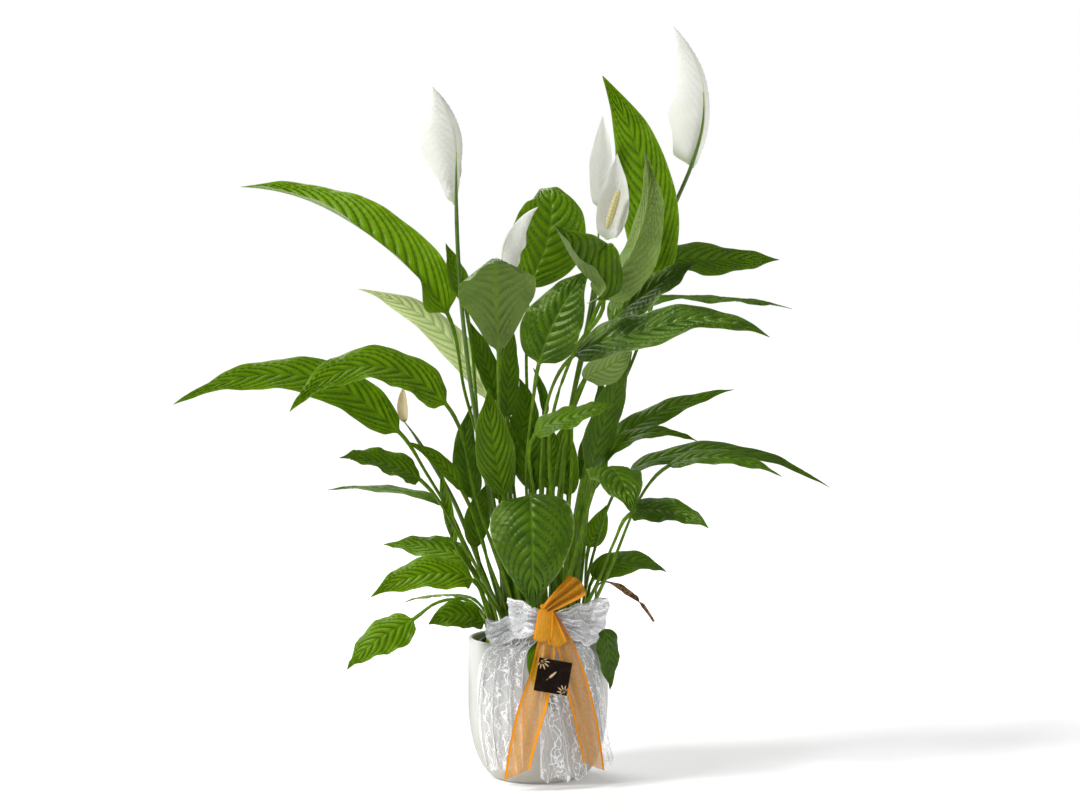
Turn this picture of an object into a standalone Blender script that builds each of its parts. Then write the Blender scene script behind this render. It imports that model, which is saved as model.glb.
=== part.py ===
"""A potted peace lily: ceramic pot, grow pot, soil, leaves, flowers, and a lace and organza bow with its tag.

Metres, +Z up. The origin is the middle of the pot's foot, on the surface it stands on. The viewer's
side is -Y. Every leaf is one piece, petiole and blade together, and so is each flower stalk, spathe
and spadix. Stems start just over the soil, with the gap that keeps neighbouring solids apart.
"""

import math

import bmesh
import bpy
from mathutils import Vector
from mathutils.geometry import interpolate_bezier

# Ceramic pot: a straight wall over a rounded lower part.
POT_HEIGHT = 0.165
POT_RADIUS = 0.082
POT_FOOT_RADIUS = 0.046
POT_CURVE_HEIGHT = 0.090
POT_WALL = 0.006
POT_FLOOR = 0.008

# Thin grow pot that holds the roots, standing inside the ceramic one and sized to fit it.
GROW_POT_TOP_CLEARANCE = 0.008
GROW_POT_FOOT_INSET = 0.002
GROW_POT_TOP_RADIUS = POT_RADIUS - POT_WALL - GROW_POT_TOP_CLEARANCE
GROW_POT_FOOT_RADIUS = POT_FOOT_RADIUS - GROW_POT_FOOT_INSET
GROW_POT_WALL = 0.0016
GROW_POT_LIP = 0.002
GROW_POT_HOLE_RADIUS = 0.005
GROW_POT_HOLES = 5
GROW_POT_HOLE_INSET = 0.0176
GROW_POT_CLEARANCE = 0.0025

SOIL_BELOW_RIM = 0.010
SOIL_BELOW_GROW_RIM = 0.005

PETIOLE = 0.0044
BLADE = 0.0014
STALK_RADIUS = 0.0026
SPADIX_RADIUS = 0.0052

GAP = 0.0003
STEM_GAP = 0.0015

# Ribbons and tag, as distances outside the pot's wall.
RIBBON = 0.0016
LACE_OUT = 0.010
LACE_BOW_OUT = 0.0125
LEFT_TAIL_OUT = 0.0180
RIGHT_TAIL_OUT = 0.0205
TAG_OUT = 0.027
KNOT_OUT = 0.023
TAIL_END_HEIGHT = 0.014
KNOT_OVER_RIM = 0.032
TAG_SIZE = 0.038
TAG_THICKNESS = 0.0012

ROUND = 40
SOIL_TOP = POT_HEIGHT - SOIL_BELOW_RIM

# The roots below are drawn in a crown of this radius, and follow the one that the grow pot leaves.
CROWN_DRAWN = 0.061
CROWN_MARGIN = 0.0054
CROWN_RADIUS = GROW_POT_TOP_RADIUS - GROW_POT_WALL - CROWN_MARGIN

# Leaves: root on the soil (x, y), petiole points, blade points from collar to tip, greatest width,
# the way the upper side faces on the blade and at its tip, and the fold: how far the edges stand up.
# Heights are over the soil.
LEAVES = {
    "leaf_high_left": (
        (-0.040, -0.002),
        [(-0.055, 0.000, 0.190), (-0.085, 0.000, 0.295)],
        [
            (-0.105, 0.002, 0.387), (-0.150, 0.016, 0.440), (-0.215, 0.040, 0.491),
            (-0.285, 0.070, 0.525), (-0.356, 0.095, 0.537),
        ],
        0.076, (0.1, -0.9, 0.4), (0.0, -0.85, 0.55), 10,
    ),
    "leaf_pale_left": (
        (-0.028, 0.030),
        [(-0.050, 0.050, 0.200)],
        [(-0.060, 0.062, 0.284), (-0.125, 0.105, 0.372), (-0.220, 0.160, 0.414)],
        0.038, (0.0, -0.75, 0.65), (0.0, -0.7, 0.7), 5,
    ),
    "leaf_far_left": (
        (-0.044, -0.021),
        [(-0.090, -0.030, 0.135), (-0.130, -0.025, 0.205)],
        [(-0.160, -0.020, 0.250), (-0.264, -0.035, 0.316), (-0.416, -0.070, 0.286)],
        0.058, (0.0, -0.75, 0.65), (0.0, -0.7, 0.7), 8,
    ),
    "leaf_front_left": (
        (-0.024, -0.038),
        [(-0.070, -0.058, 0.175)],
        [(-0.104, -0.075, 0.286), (-0.188, -0.110, 0.332), (-0.274, -0.165, 0.284)],
        0.058, (0.0, -0.7, 0.7), (0.0, -0.7, 0.7), 10,
    ),
    "leaf_silver_left": (
        (-0.036, -0.034),
        [(-0.085, -0.062, 0.125)],
        [(-0.134, -0.072, 0.200), (-0.180, -0.095, 0.222), (-0.222, -0.130, 0.230)],
        0.048, (0.0, -0.6, 0.8), (0.0, -0.6, 0.8), 15,
    ),
    "leaf_narrow_left": (
        (-0.054, -0.006),
        [(-0.080, -0.010, 0.100)],
        [(-0.110, -0.010, 0.164), (-0.176, 0.000, 0.182), (-0.248, 0.020, 0.180)],
        0.028, (0.0, -0.2, 1.0), (0.0, -0.2, 1.0), 10,
    ),
    "leaf_low_left": (
        (-0.054, 0.012),
        [(-0.062, 0.012, 0.050)],
        [(-0.080, 0.015, 0.092), (-0.126, 0.030, 0.110), (-0.184, 0.050, 0.112)],
        0.042, (0.0, -0.6, 0.8), (0.0, -0.6, 0.8), 10,
    ),
    "leaf_thin_left": (
        (-0.052, 0.026),
        [(-0.060, 0.030, 0.030)],
        [(-0.076, 0.040, 0.048), (-0.116, 0.065, 0.050), (-0.164, 0.095, 0.036)],
        0.030, (0.0, 0.1, 1.0), (0.0, 0.1, 1.0), 0,
    ),
    "leaf_hanging_left": (
        (-0.056, -0.017),
        [(-0.078, -0.030, 0.055), (-0.115, -0.035, 0.055)],
        [(-0.144, -0.042, 0.036), (-0.188, -0.062, 0.012), (-0.218, -0.085, -0.016)],
        0.048, (-0.3, -0.8, 0.5), (-0.5, -0.7, 0.3), 0,
    ),
    "leaf_rim_left": (
        (-0.048, -0.031),
        [(-0.056, -0.054, 0.030)],
        [(-0.070, -0.062, 0.042), (-0.095, -0.075, 0.045), (-0.125, -0.085, 0.035)],
        0.030, (0.1, -0.6, 0.8), (0.3, -0.8, 0.5), 10,
    ),
    "leaf_back_heart": (
        (-0.004, 0.040),
        [(-0.010, 0.055, 0.225), (-0.014, 0.068, 0.340)],
        [(-0.010, 0.082, 0.415), (0.012, 0.094, 0.476), (0.015, 0.108, 0.525), (0.004, 0.135, 0.536)],
        0.088, (0.1, -1.0, 0.2), (0.0, -0.3, 1.0), 5,
    ),
    "leaf_centre_grey": (
        (-0.017, -0.027),
        [(-0.040, -0.045, 0.195), (-0.045, -0.055, 0.290)],
        [(-0.045, -0.062, 0.345), (-0.048, -0.082, 0.418), (-0.048, -0.125, 0.446), (-0.048, -0.210, 0.448)],
        0.094, (0.0, 0.9, 0.4), (0.0, 0.2, 1.0), -8,
    ),
    "leaf_centre_dark": (
        (0.000, -0.010),
        [(-0.014, -0.010, 0.200), (-0.006, -0.008, 0.285)],
        [(0.001, -0.006, 0.330), (0.022, -0.006, 0.385), (0.060, -0.006, 0.440)],
        0.072, (-0.2, -0.9, 0.3), (-0.2, -0.8, 0.5), 5,
    ),
    "leaf_folded": (
        (0.028, -0.014),
        [(0.020, -0.040, 0.140), (0.014, -0.060, 0.255), (0.042, -0.092, 0.350)],
        [(0.074, -0.100, 0.405), (0.044, -0.104, 0.444), (0.019, -0.108, 0.490)],
        0.076, (0.1, -0.9, 0.4), (0.1, -0.9, 0.4), 25,
    ),
    "leaf_silver_back": (
        (0.022, 0.006),
        [(0.032, -0.036, 0.235), (0.052, -0.052, 0.350)],
        [(0.072, -0.062, 0.405), (0.107, -0.076, 0.461), (0.124, -0.076, 0.518), (0.120, -0.065, 0.575)],
        0.060, (0.0, 0.95, 0.2), (-0.3, 0.9, 0.2), 5,
    ),
    "leaf_upright_dark": (
        (0.036, 0.020),
        [(0.058, 0.024, 0.200), (0.120, 0.034, 0.355)],
        [(0.138, 0.042, 0.420), (0.130, 0.048, 0.520), (0.114, 0.056, 0.590), (0.076, 0.070, 0.668)],
        0.068, (-0.3, -0.95, 0.0), (-0.3, -0.9, 0.2), 8,
    ),
    "leaf_right_back": (
        (0.032, 0.038),
        [(0.060, 0.050, 0.225), (0.122, 0.060, 0.390)],
        [(0.150, 0.068, 0.444), (0.218, 0.095, 0.450), (0.292, 0.125, 0.450)],
        0.054, (0.0, -0.7, 0.7), (0.0, -0.7, 0.7), 8,
    ),
    "leaf_right_inner": (
        (0.016, -0.024),
        [(0.022, -0.020, 0.215), (0.058, -0.024, 0.320)],
        [(0.082, -0.034, 0.376), (0.136, -0.042, 0.420), (0.186, -0.040, 0.450)],
        0.054, (0.0, -0.5, 0.85), (0.0, -0.5, 0.85), 12,
    ),
    "leaf_right_thin": (
        (0.036, 0.004),
        [(0.072, 0.006, 0.250)],
        [(0.120, 0.012, 0.394), (0.212, 0.035, 0.404), (0.302, 0.065, 0.392)],
        0.040, (0.0, 0.15, 1.0), (0.0, 0.15, 1.0), 5,
    ),
    "leaf_right_big": (
        (0.010, -0.042),
        [(0.004, -0.046, 0.230), (0.016, -0.058, 0.305)],
        [(0.040, -0.076, 0.342), (0.114, -0.110, 0.370), (0.188, -0.135, 0.386), (0.256, -0.160, 0.366)],
        0.058, (0.0, -0.7, 0.7), (0.0, -0.6, 0.8), 8,
    ),
    "leaf_silver_top": (
        (0.032, -0.030),
        [(0.050, -0.032, 0.125)],
        [(0.062, -0.036, 0.210), (0.085, -0.042, 0.290), (0.120, -0.050, 0.370)],
        0.042, (0.5, -0.7, 0.2), (0.5, -0.7, 0.2), 5,
    ),
    "leaf_level_centre": (
        (0.004, -0.048),
        [(-0.004, -0.064, 0.175)],
        [(-0.004, -0.084, 0.252), (0.045, -0.094, 0.275), (0.090, -0.100, 0.290)],
        0.044, (0.0, -0.5, 0.85), (0.0, -0.5, 0.85), 10,
    ),
    "leaf_silver_upright": (
        (-0.014, -0.046),
        [(-0.030, -0.050, 0.105)],
        [(-0.040, -0.056, 0.180), (-0.052, -0.064, 0.245), (-0.056, -0.068, 0.305)],
        0.038, (0.0, 0.9, 0.3), (0.0, 0.9, 0.3), 5,
    ),
    "leaf_dark_upright": (
        (-0.038, 0.014),
        [(-0.060, 0.014, 0.100)],
        [(-0.076, 0.016, 0.170), (-0.086, 0.020, 0.225), (-0.078, 0.024, 0.280)],
        0.032, (0.3, -0.9, 0.2), (0.3, -0.9, 0.2), 8,
    ),
    "leaf_slender": (
        (-0.016, 0.014),
        [(-0.034, 0.014, 0.190)],
        [(-0.036, 0.014, 0.265), (-0.034, 0.014, 0.320), (-0.030, 0.018, 0.380)],
        0.026, (0.4, -0.9, 0.1), (0.4, -0.9, 0.1), 8,
    ),
    "leaf_inner_mid": (
        (0.004, 0.022),
        [(0.008, 0.030, 0.120)],
        [(0.012, 0.036, 0.180), (0.015, 0.040, 0.215), (0.016, 0.042, 0.255)],
        0.034, (0.2, -0.9, 0.1), (0.2, -0.9, 0.1), 8,
    ),
    "leaf_front_heart": (
        (-0.008, -0.060),
        [(-0.010, -0.072, 0.110)],
        [(-0.009, -0.106, 0.186), (-0.006, -0.142, 0.140), (-0.006, -0.142, 0.062)],
        0.093, (0.0, -0.95, 0.3), (0.0, -1.0, 0.1), 0,
    ),
    "leaf_right_drooping": (
        (0.024, -0.052),
        [(0.050, -0.062, 0.140)],
        [(0.075, -0.082, 0.212), (0.090, -0.125, 0.210), (0.105, -0.160, 0.170)],
        0.060, (0.2, -0.6, 0.8), (0.2, -0.8, 0.5), 0,
    ),
    "leaf_right_low": (
        (0.040, -0.042),
        [(0.070, -0.056, 0.085), (0.088, -0.064, 0.130)],
        [(0.104, -0.070, 0.160), (0.150, -0.090, 0.166), (0.192, -0.120, 0.150)],
        0.042, (0.0, -0.6, 0.8), (0.0, -0.6, 0.8), 8,
    ),
    "leaf_right_hooked": (
        (0.038, -0.012),
        [(0.054, -0.018, 0.135)],
        [(0.072, -0.022, 0.216), (0.120, -0.032, 0.250), (0.184, -0.045, 0.242)],
        0.028, (0.0, -0.5, 0.85), (0.0, -0.5, 0.85), 10,
    ),
    "leaf_right_pointed": (
        (0.042, 0.016),
        [(0.056, 0.020, 0.145)],
        [(0.076, 0.030, 0.220), (0.132, 0.055, 0.262), (0.236, 0.100, 0.294)],
        0.034, (0.0, -0.6, 0.8), (0.0, -0.6, 0.8), 8,
    ),
    "leaf_right_front_thin": (
        (0.054, -0.016),
        [(0.088, -0.034, 0.105), (0.126, -0.040, 0.190)],
        [(0.150, -0.046, 0.214), (0.204, -0.065, 0.226), (0.276, -0.095, 0.206)],
        0.030, (0.0, -0.5, 0.85), (0.0, -0.5, 0.85), 8,
    ),
    "leaf_far_right": (
        (0.050, 0.004),
        [(0.066, 0.014, 0.110)],
        [(0.106, 0.014, 0.200), (0.150, 0.018, 0.220), (0.232, 0.025, 0.226), (0.344, 0.030, 0.182)],
        0.036, (0.0, -0.4, 0.9), (0.0, -0.4, 0.9), 8,
    ),
    "leaf_low_right": (
        (0.056, -0.004),
        [(0.058, -0.010, 0.050)],
        [(0.064, -0.008, 0.078), (0.110, 0.004, 0.098), (0.152, 0.025, 0.082)],
        0.040, (0.0, -0.6, 0.8), (0.0, -0.6, 0.8), 8,
    ),
    "leaf_young_right": (
        (0.054, 0.018),
        [(0.056, 0.032, 0.055)],
        [(0.060, 0.040, 0.110), (0.071, 0.042, 0.135), (0.081, 0.044, 0.160)],
        0.026, (0.2, -0.8, 0.5), (0.2, -0.8, 0.5), 8,
    ),
    "leaf_dry_right": (
        (0.049, 0.031),
        [(0.066, 0.028, 0.040)],
        [(0.074, 0.036, 0.068), (0.100, 0.044, 0.060), (0.138, 0.050, 0.020)],
        0.010, (0.3, -0.6, 0.8), (0.6, -0.6, 0.3), 0,
    ),
}

# Leaves that lean on or hang over the rim: the same, but a point is the bearing in degrees (-90 is the
# viewer's side), the distance outside the pot's wall and the height over the rim.
RIM_LEAVES = {
    "leaf_bright_left": (
        (-0.034, -0.048),
        [(-130, 0.005, 0.035)],
        [(-131, 0.030, 0.076), (-137, 0.087, 0.088), (-141, 0.158, 0.066)],
        0.052, (0.0, -0.65, 0.75), (0.0, -0.65, 0.75), 8,
    ),
    "leaf_rim_right": (
        (0.049, -0.031),
        [(-34, -0.008, 0.018)],
        [(-34, 0.008, 0.016), (-33, 0.015, -0.015), (-32, 0.016, -0.055)],
        0.036, (0.7, -0.7, 0.2), (0.7, -0.7, 0.0), 5,
    ),
    "leaf_rim_front": (
        (0.002, -0.060),
        [(-90, -0.008, 0.010)],
        [(-90, 0.0030, 0.008), (-88, 0.0045, -0.030), (-77, 0.0045, -0.075)],
        0.026, (0.0, -1.0, 0.1), (0.1, -1.0, 0.0), 0,
    ),
}

# Flowers: root, stalk points, spathe points from base to tip, width, the way its inside faces,
# and the spadix from base to top, or None where the flower has lost it. Heights are over the soil.
FLOWERS = {
    "flower_tall_left": (
        (-0.034, -0.014),
        [(-0.060, -0.016, 0.195), (-0.080, -0.018, 0.320), (-0.092, -0.020, 0.450), (-0.094, -0.020, 0.575)],
        [(-0.100, -0.012, 0.520), (-0.113, -0.011, 0.580), (-0.122, -0.010, 0.650)],
        0.046, (0.2, 1.0, 0.1),
        ((-0.092, 0.006, 0.545), (-0.096, 0.010, 0.590)),
    ),
    "flower_top_right": (
        (0.040, 0.045),
        [
            (0.080, 0.076, 0.250), (0.130, 0.086, 0.420), (0.162, 0.090, 0.512),
            (0.184, 0.090, 0.565), (0.191, 0.088, 0.605),
        ],
        [(0.181, 0.098, 0.565), (0.190, 0.102, 0.640), (0.160, 0.100, 0.730)],
        0.050, (-0.8, 0.6, 0.1),
        ((0.164, 0.112, 0.590), (0.162, 0.114, 0.640)),
    ),
    "flower_middle": (
        (0.020, 0.032),
        [(0.034, 0.026, 0.250), (0.062, 0.016, 0.380), (0.076, 0.006, 0.466)],
        [(0.082, 0.010, 0.478), (0.090, 0.012, 0.515), (0.090, 0.010, 0.570)],
        0.032, (0.0, -1.0, 0.1),
        ((0.082, -0.002, 0.490), (0.094, -0.002, 0.534)),
    ),
    "flower_behind": (
        (0.014, 0.046),
        [(0.035, 0.058, 0.250), (0.066, 0.052, 0.420), (0.072, 0.048, 0.500)],
        [(0.072, 0.048, 0.512), (0.072, 0.048, 0.560), (0.076, 0.046, 0.620)],
        0.028, (0.3, -0.9, 0.1),
        None,
    ),
    "flower_side": (
        (-0.018, 0.036),
        [(-0.040, 0.032, 0.240), (-0.042, 0.030, 0.380), (-0.040, 0.028, 0.430)],
        [(-0.042, 0.024, 0.438), (-0.036, 0.022, 0.475), (0.000, 0.020, 0.512)],
        0.030, (0.8, -0.3, -0.4),
        ((-0.032, 0.022, 0.440), (-0.024, 0.020, 0.474)),
    ),
}

# The faded flower: a short stalk and a small cream spathe.
FADED_ROOT = (-0.050, 0.002)
FADED_STALK = [(-0.090, 0.000, 0.150), (-0.140, -0.002, 0.240)]
FADED_BLADE = [(-0.156, -0.002, 0.262), (-0.158, -0.002, 0.282), (-0.156, -0.002, 0.305)]
FADED_WIDTH = 0.014

COLLECTION = "potted_peace_lily"


def material(name, colour, roughness):
    made = bpy.data.materials.get(name)
    if made is None:
        made = bpy.data.materials.new(name)
        made.use_nodes = True
        shader = made.node_tree.nodes["Principled BSDF"]
        shader.inputs["Base Color"].default_value = (*colour, 1)
        shader.inputs["Roughness"].default_value = roughness
        shader.inputs["Metallic"].default_value = 0
    return made


def ceramic():
    return material("pale_ceramic", (0.62, 0.63, 0.60), 0.55)


def grow_pot_plastic():
    return material("black_plastic", (0.02, 0.02, 0.02), 0.5)


def soil_mix():
    return material("soil", (0.05, 0.03, 0.02), 0.95)


def leaf_green():
    return material("leaf_green", (0.05, 0.17, 0.02), 0.35)


def stalk_green():
    return material("stalk_green", (0.06, 0.15, 0.02), 0.45)


def spathe_white():
    return material("spathe_white", (0.86, 0.86, 0.80), 0.5)


def spadix_cream():
    return material("spadix_cream", (0.62, 0.52, 0.28), 0.7)


def dry_brown():
    return material("dry_leaf", (0.22, 0.10, 0.04), 0.8)


def lace_white():
    return material("lace_white", (0.85, 0.85, 0.85), 0.8)


def organza_orange():
    return material("organza_orange", (0.80, 0.30, 0.03), 0.5)


def tag_card():
    return material("tag_card", (0.03, 0.012, 0.01), 0.5)


def add_object(name, mesh, finish):
    made = bpy.data.objects.new(name, mesh)
    mesh.materials.append(finish)
    bpy.data.collections[COLLECTION].objects.link(made)
    return made


def over_soil(point):
    return Vector((point[0], point[1], SOIL_TOP + point[2]))


def over_rim(point):
    bearing, out, height = point
    reach = POT_RADIUS + out
    angle = math.radians(bearing)
    return Vector((reach * math.cos(angle), reach * math.sin(angle), POT_HEIGHT + height))


def on_soil(root):
    spread = CROWN_RADIUS / CROWN_DRAWN
    return Vector((root[0] * spread, root[1] * spread, SOIL_TOP + STEM_GAP))


class Path:
    """A smooth curve through knots, leaving the first one in a given direction, read by its length."""

    STEPS = 16

    def __init__(self, knots, leaving):
        ways = [Vector(leaving).normalized()]
        for before, here, after in zip(knots, knots[1:], knots[2:]):
            ways.append(((here - before).normalized() + (after - here).normalized()).normalized())
        last = (knots[-1] - knots[-2]).normalized()
        ways.append((2 * last - ways[-1]).normalized())
        self.points = [knots[0]]
        self.lengths = [0.0]
        self.knot_lengths = [0.0]
        for start, end, away, into in zip(knots, knots[1:], ways, ways[1:]):
            pull = (end - start).length / 3
            run = interpolate_bezier(start, start + away * pull, end - into * pull, end, self.STEPS + 1)
            for point in run[1:]:
                self.lengths.append(self.lengths[-1] + (point - self.points[-1]).length)
                self.points.append(point)
            self.knot_lengths.append(self.lengths[-1])

    def at(self, length):
        """The point and the direction at a length along the curve."""
        k = 0
        while k < len(self.lengths) - 2 and self.lengths[k + 1] < length:
            k += 1
        step = self.points[k + 1] - self.points[k]
        share = (length - self.lengths[k]) / (self.lengths[k + 1] - self.lengths[k])
        before = self.points[k] - self.points[k - 1] if k > 0 else step
        after = self.points[k + 2] - self.points[k + 1] if k + 2 < len(self.points) else step
        way = (before + step).lerp(step + after, share).normalized()
        return self.points[k] + step * share, way


def ease(share):
    share = min(max(share, 0.0), 1.0)
    return share * share * (3 - 2 * share)


def blade_outline(u):
    """Half of a peace lily blade's width at u from collar to tip, as a share of the greatest half."""
    return math.sin(math.pi * u**0.62) ** 0.85 * (1 - 0.3 * ease((u - 0.7) / 0.3))


def sheet_solid(name, stations, across, place, thickness, weights, finish):
    """A closed solid around a grid of points: place(k, v) gives row k's point at v, -1 to 1 across."""
    mesh = bpy.data.meshes.new(name)
    bm = bmesh.new()
    bmesh.ops.create_grid(bm, x_segments=across, y_segments=stations - 1, size=1)
    rows = {}
    for vertex in bm.verts:
        k = round((vertex.co.y + 1) / 2 * (stations - 1))
        rows[vertex.index] = k
        vertex.co = place(k, vertex.co.x)
    bm.to_mesh(mesh)
    bm.free()
    made = add_object(name, mesh, finish)
    wall = made.modifiers.new("thickness", "SOLIDIFY")
    wall.offset = 0
    wall.thickness = max(thickness)
    if weights:
        group = made.vertex_groups.new(name="thick")
        for index, k in rows.items():
            group.add([index], weights[k], "REPLACE")
        wall.vertex_group = group.name
        wall.thickness_vertex_group = min(thickness) / max(thickness)
    return made


def leaf(name, knots, collar, width, face, tip_face, fold, finish, outline=blade_outline):
    """A petiole and a blade in one piece: knots run from the root to the tip, and collar is the knot
    where the blade starts. The upper side faces inwards on the petiole and turns to face along
    the blade."""
    path = Path(knots, (0, 0, 1))
    petiole_length = path.knot_lengths[collar]
    blade_length = path.knot_lengths[-1] - petiole_length
    petiole_rows = 3 + collar
    blade_rows = 8
    inwards = (knots[0] - knots[-1]) * Vector((1, 1, 0))
    inwards.normalize()
    tilt = math.radians(fold)

    def place(k, v):
        if k < petiole_rows:
            share = k / petiole_rows
            length = petiole_length * share
            up = inwards.lerp(Vector(face), ease((share - 0.4) / 0.6))
            half = PETIOLE / 2
            rise = 0.0
        else:
            u = (k - petiole_rows) / blade_rows
            length = petiole_length + blade_length * u
            up = Vector(face).lerp(Vector(tip_face), ease((u - 0.2) / 0.7))
            half = max(width / 2 * outline(u), PETIOLE / 2 * (1 - 0.7 * u))
            rise = tilt * ease(u / 0.15)
        point, way = path.at(length)
        up = (up - way * up.dot(way)).normalized()
        side = way.cross(up)
        return point + side * (v * half * math.cos(rise)) + up * (abs(v) * half * math.sin(rise))

    weights = [1.0] * (petiole_rows + 1) + [0.0] * blade_rows
    return sheet_solid(name, len(weights), 2, place, (BLADE, PETIOLE), weights, finish)


def spathe(name, knots, width, face, finish):
    """A spathe: a boat-shaped sheet with a pointed tip, hollow on the side it faces."""
    path = Path(knots, knots[1] - knots[0])
    rows = 8

    def place(k, v):
        u = k / rows
        point, way = path.at(path.lengths[-1] * u)
        half = max(width / 2 * blade_outline(0.06 + 0.94 * u), BLADE / 2)
        up = Vector(face)
        up = (up - way * up.dot(way)).normalized()
        side = way.cross(up)
        rise = math.radians(25)
        return point + side * (v * half * math.cos(rise)) + up * (abs(v) * half * math.sin(rise))

    return sheet_solid(name, rows + 1, 2, place, (BLADE,), None, finish)


def stalk(name, knots, finish):
    """A round stalk as a bevelled curve along a smooth path."""
    path = Path(knots, (0, 0, 1))
    count = 3 * (len(knots) - 1) + 1
    curve = bpy.data.curves.new(name, "CURVE")
    curve.dimensions = "3D"
    curve.bevel_depth = STALK_RADIUS
    curve.bevel_resolution = 1
    curve.use_fill_caps = True
    line = curve.splines.new("POLY")
    line.points.add(count - 1)
    for k, point in enumerate(line.points):
        point.co = (*path.at(path.lengths[-1] * k / (count - 1))[0], 1)
    return add_object(name, curve, finish)


def spadix(name, base, top, finish):
    """A spadix: a round-ended club, from a sphere drawn out along its axis."""
    base, top = Vector(base), Vector(top)
    mesh = bpy.data.meshes.new(name)
    bm = bmesh.new()
    bmesh.ops.create_uvsphere(bm, u_segments=10, v_segments=8, radius=SPADIX_RADIUS)
    straight = (top - base).length - 2 * SPADIX_RADIUS
    for vertex in bm.verts:
        vertex.co.z += math.copysign(straight / 2, vertex.co.z)
    bmesh.ops.rotate(bm, verts=bm.verts, matrix=(top - base).to_track_quat("Z", "Y").to_matrix())
    bmesh.ops.translate(bm, verts=bm.verts, vec=(base + top) / 2)
    bm.to_mesh(mesh)
    bm.free()
    return add_object(name, mesh, finish)


def turned(name, profile, finish):
    """A turned shape from a profile of (radius, height) that starts and ends on the axis."""
    mesh = bpy.data.meshes.new(name)
    mesh.from_pydata(
        [(radius, 0, height) for radius, height in profile],
        [(k, k + 1) for k in range(len(profile) - 1)],
        [],
    )
    made = add_object(name, mesh, finish)
    screw = made.modifiers.new("turn", "SCREW")
    screw.steps = ROUND
    screw.render_steps = ROUND
    screw.use_merge_vertices = True
    screw.merge_threshold = 0.00001
    screw.use_smooth_shade = True
    return made


def pot_radius(height, out=0.0, floor=0.0):
    """The pot's wall at a height: a quarter ellipse up to the curve height, then straight."""
    share = min(max((height - floor) / (POT_CURVE_HEIGHT - floor), 0.0), 1.0)
    return POT_FOOT_RADIUS + (POT_RADIUS - POT_FOOT_RADIUS) * math.sqrt(1 - (1 - share) ** 2) + out


def curve_heights(floor, count):
    """Heights along the rounded part, closer together near the floor where it turns fastest."""
    turns = [math.pi / 2 * k / count for k in range(count + 1)]
    return [floor + (POT_CURVE_HEIGHT - floor) * (1 - math.cos(turn)) for turn in turns]


def ceramic_pot():
    lip = POT_WALL / 2
    outside = [(pot_radius(height), height) for height in curve_heights(0.0, 7)]
    inside = [(pot_radius(height, -POT_WALL, POT_FLOOR), height) for height in curve_heights(POT_FLOOR, 6)]
    rim = [
        (POT_RADIUS - lip + lip * math.cos(turn), POT_HEIGHT - lip + lip * math.sin(turn))
        for turn in [math.radians(degrees) for degrees in (180, 135, 90, 45, 0)]
    ]
    profile = [(0, POT_FLOOR)] + inside + rim + outside[::-1] + [(0, 0)]
    return turned("ceramic_pot", profile, ceramic())


def grow_pot_foot():
    """The height at which the grow pot's foot meets the rounded inside of the ceramic pot."""
    reach = GROW_POT_FOOT_RADIUS + GROW_POT_CLEARANCE - (POT_FOOT_RADIUS - POT_WALL)
    share = min(max(reach / (POT_RADIUS - POT_FOOT_RADIUS), 0.0), 1.0)
    return POT_FLOOR + GAP + (POT_CURVE_HEIGHT - POT_FLOOR) * (1 - math.sqrt(1 - share**2))


def grow_pot_radius(height, out=0.0):
    foot = grow_pot_foot()
    share = (height - foot) / (SOIL_TOP + SOIL_BELOW_GROW_RIM - foot)
    return GROW_POT_FOOT_RADIUS + (GROW_POT_TOP_RADIUS - GROW_POT_FOOT_RADIUS) * share + out


def grow_pot():
    foot = grow_pot_foot()
    top = SOIL_TOP + SOIL_BELOW_GROW_RIM
    floor = foot + GROW_POT_WALL
    lip = GROW_POT_LIP
    profile = [
        (0, floor),
        (grow_pot_radius(floor, -GROW_POT_WALL), floor),
        (grow_pot_radius(top, -GROW_POT_WALL), top),
        (grow_pot_radius(top, lip), top),
        (grow_pot_radius(top, lip), top - lip),
        (grow_pot_radius(top - lip), top - lip),
        (grow_pot_radius(foot), foot),
        (0, foot),
    ]
    made = turned("grow_pot", profile, grow_pot_plastic())
    for k in range(GROW_POT_HOLES):
        angle = 2 * math.pi * k / GROW_POT_HOLES
        reach = GROW_POT_FOOT_RADIUS - GROW_POT_HOLE_INSET
        bpy.ops.mesh.primitive_cylinder_add(
            vertices=12,
            radius=GROW_POT_HOLE_RADIUS,
            depth=6 * GROW_POT_WALL,
            location=(reach * math.cos(angle), reach * math.sin(angle), foot + GROW_POT_WALL / 2),
        )
        cutter = bpy.context.object
        cutter.name = f"drain_hole_{k + 1}"
        cutter.hide_render = True
        cutter.display_type = "WIRE"
        cutter.users_collection[0].objects.unlink(cutter)
        bpy.data.collections["cutters"].objects.link(cutter)
        cut = made.modifiers.new("drain", "BOOLEAN")
        cut.object = cutter
        cut.operation = "DIFFERENCE"
        cut.solver = "EXACT"
    return made


def soil():
    bottom = grow_pot_foot() + GROW_POT_WALL + GAP
    profile = [
        (0, SOIL_TOP),
        (grow_pot_radius(SOIL_TOP, -GROW_POT_WALL - GAP), SOIL_TOP),
        (grow_pot_radius(bottom, -GROW_POT_WALL - GAP), bottom),
        (0, bottom),
    ]
    return turned("soil", profile, soil_mix())


def joined(made, tools):
    """Boolean unions of made with each tool, which then leaves the scene as a cutter does."""
    for tool in tools:
        tool.hide_render = True
        tool.display_type = "WIRE"
        bpy.data.collections[COLLECTION].objects.unlink(tool)
        bpy.data.collections["cutters"].objects.link(tool)
        union = made.modifiers.new("join", "BOOLEAN")
        union.object = tool
        union.operation = "UNION"
        union.solver = "EXACT"
    return made


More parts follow.
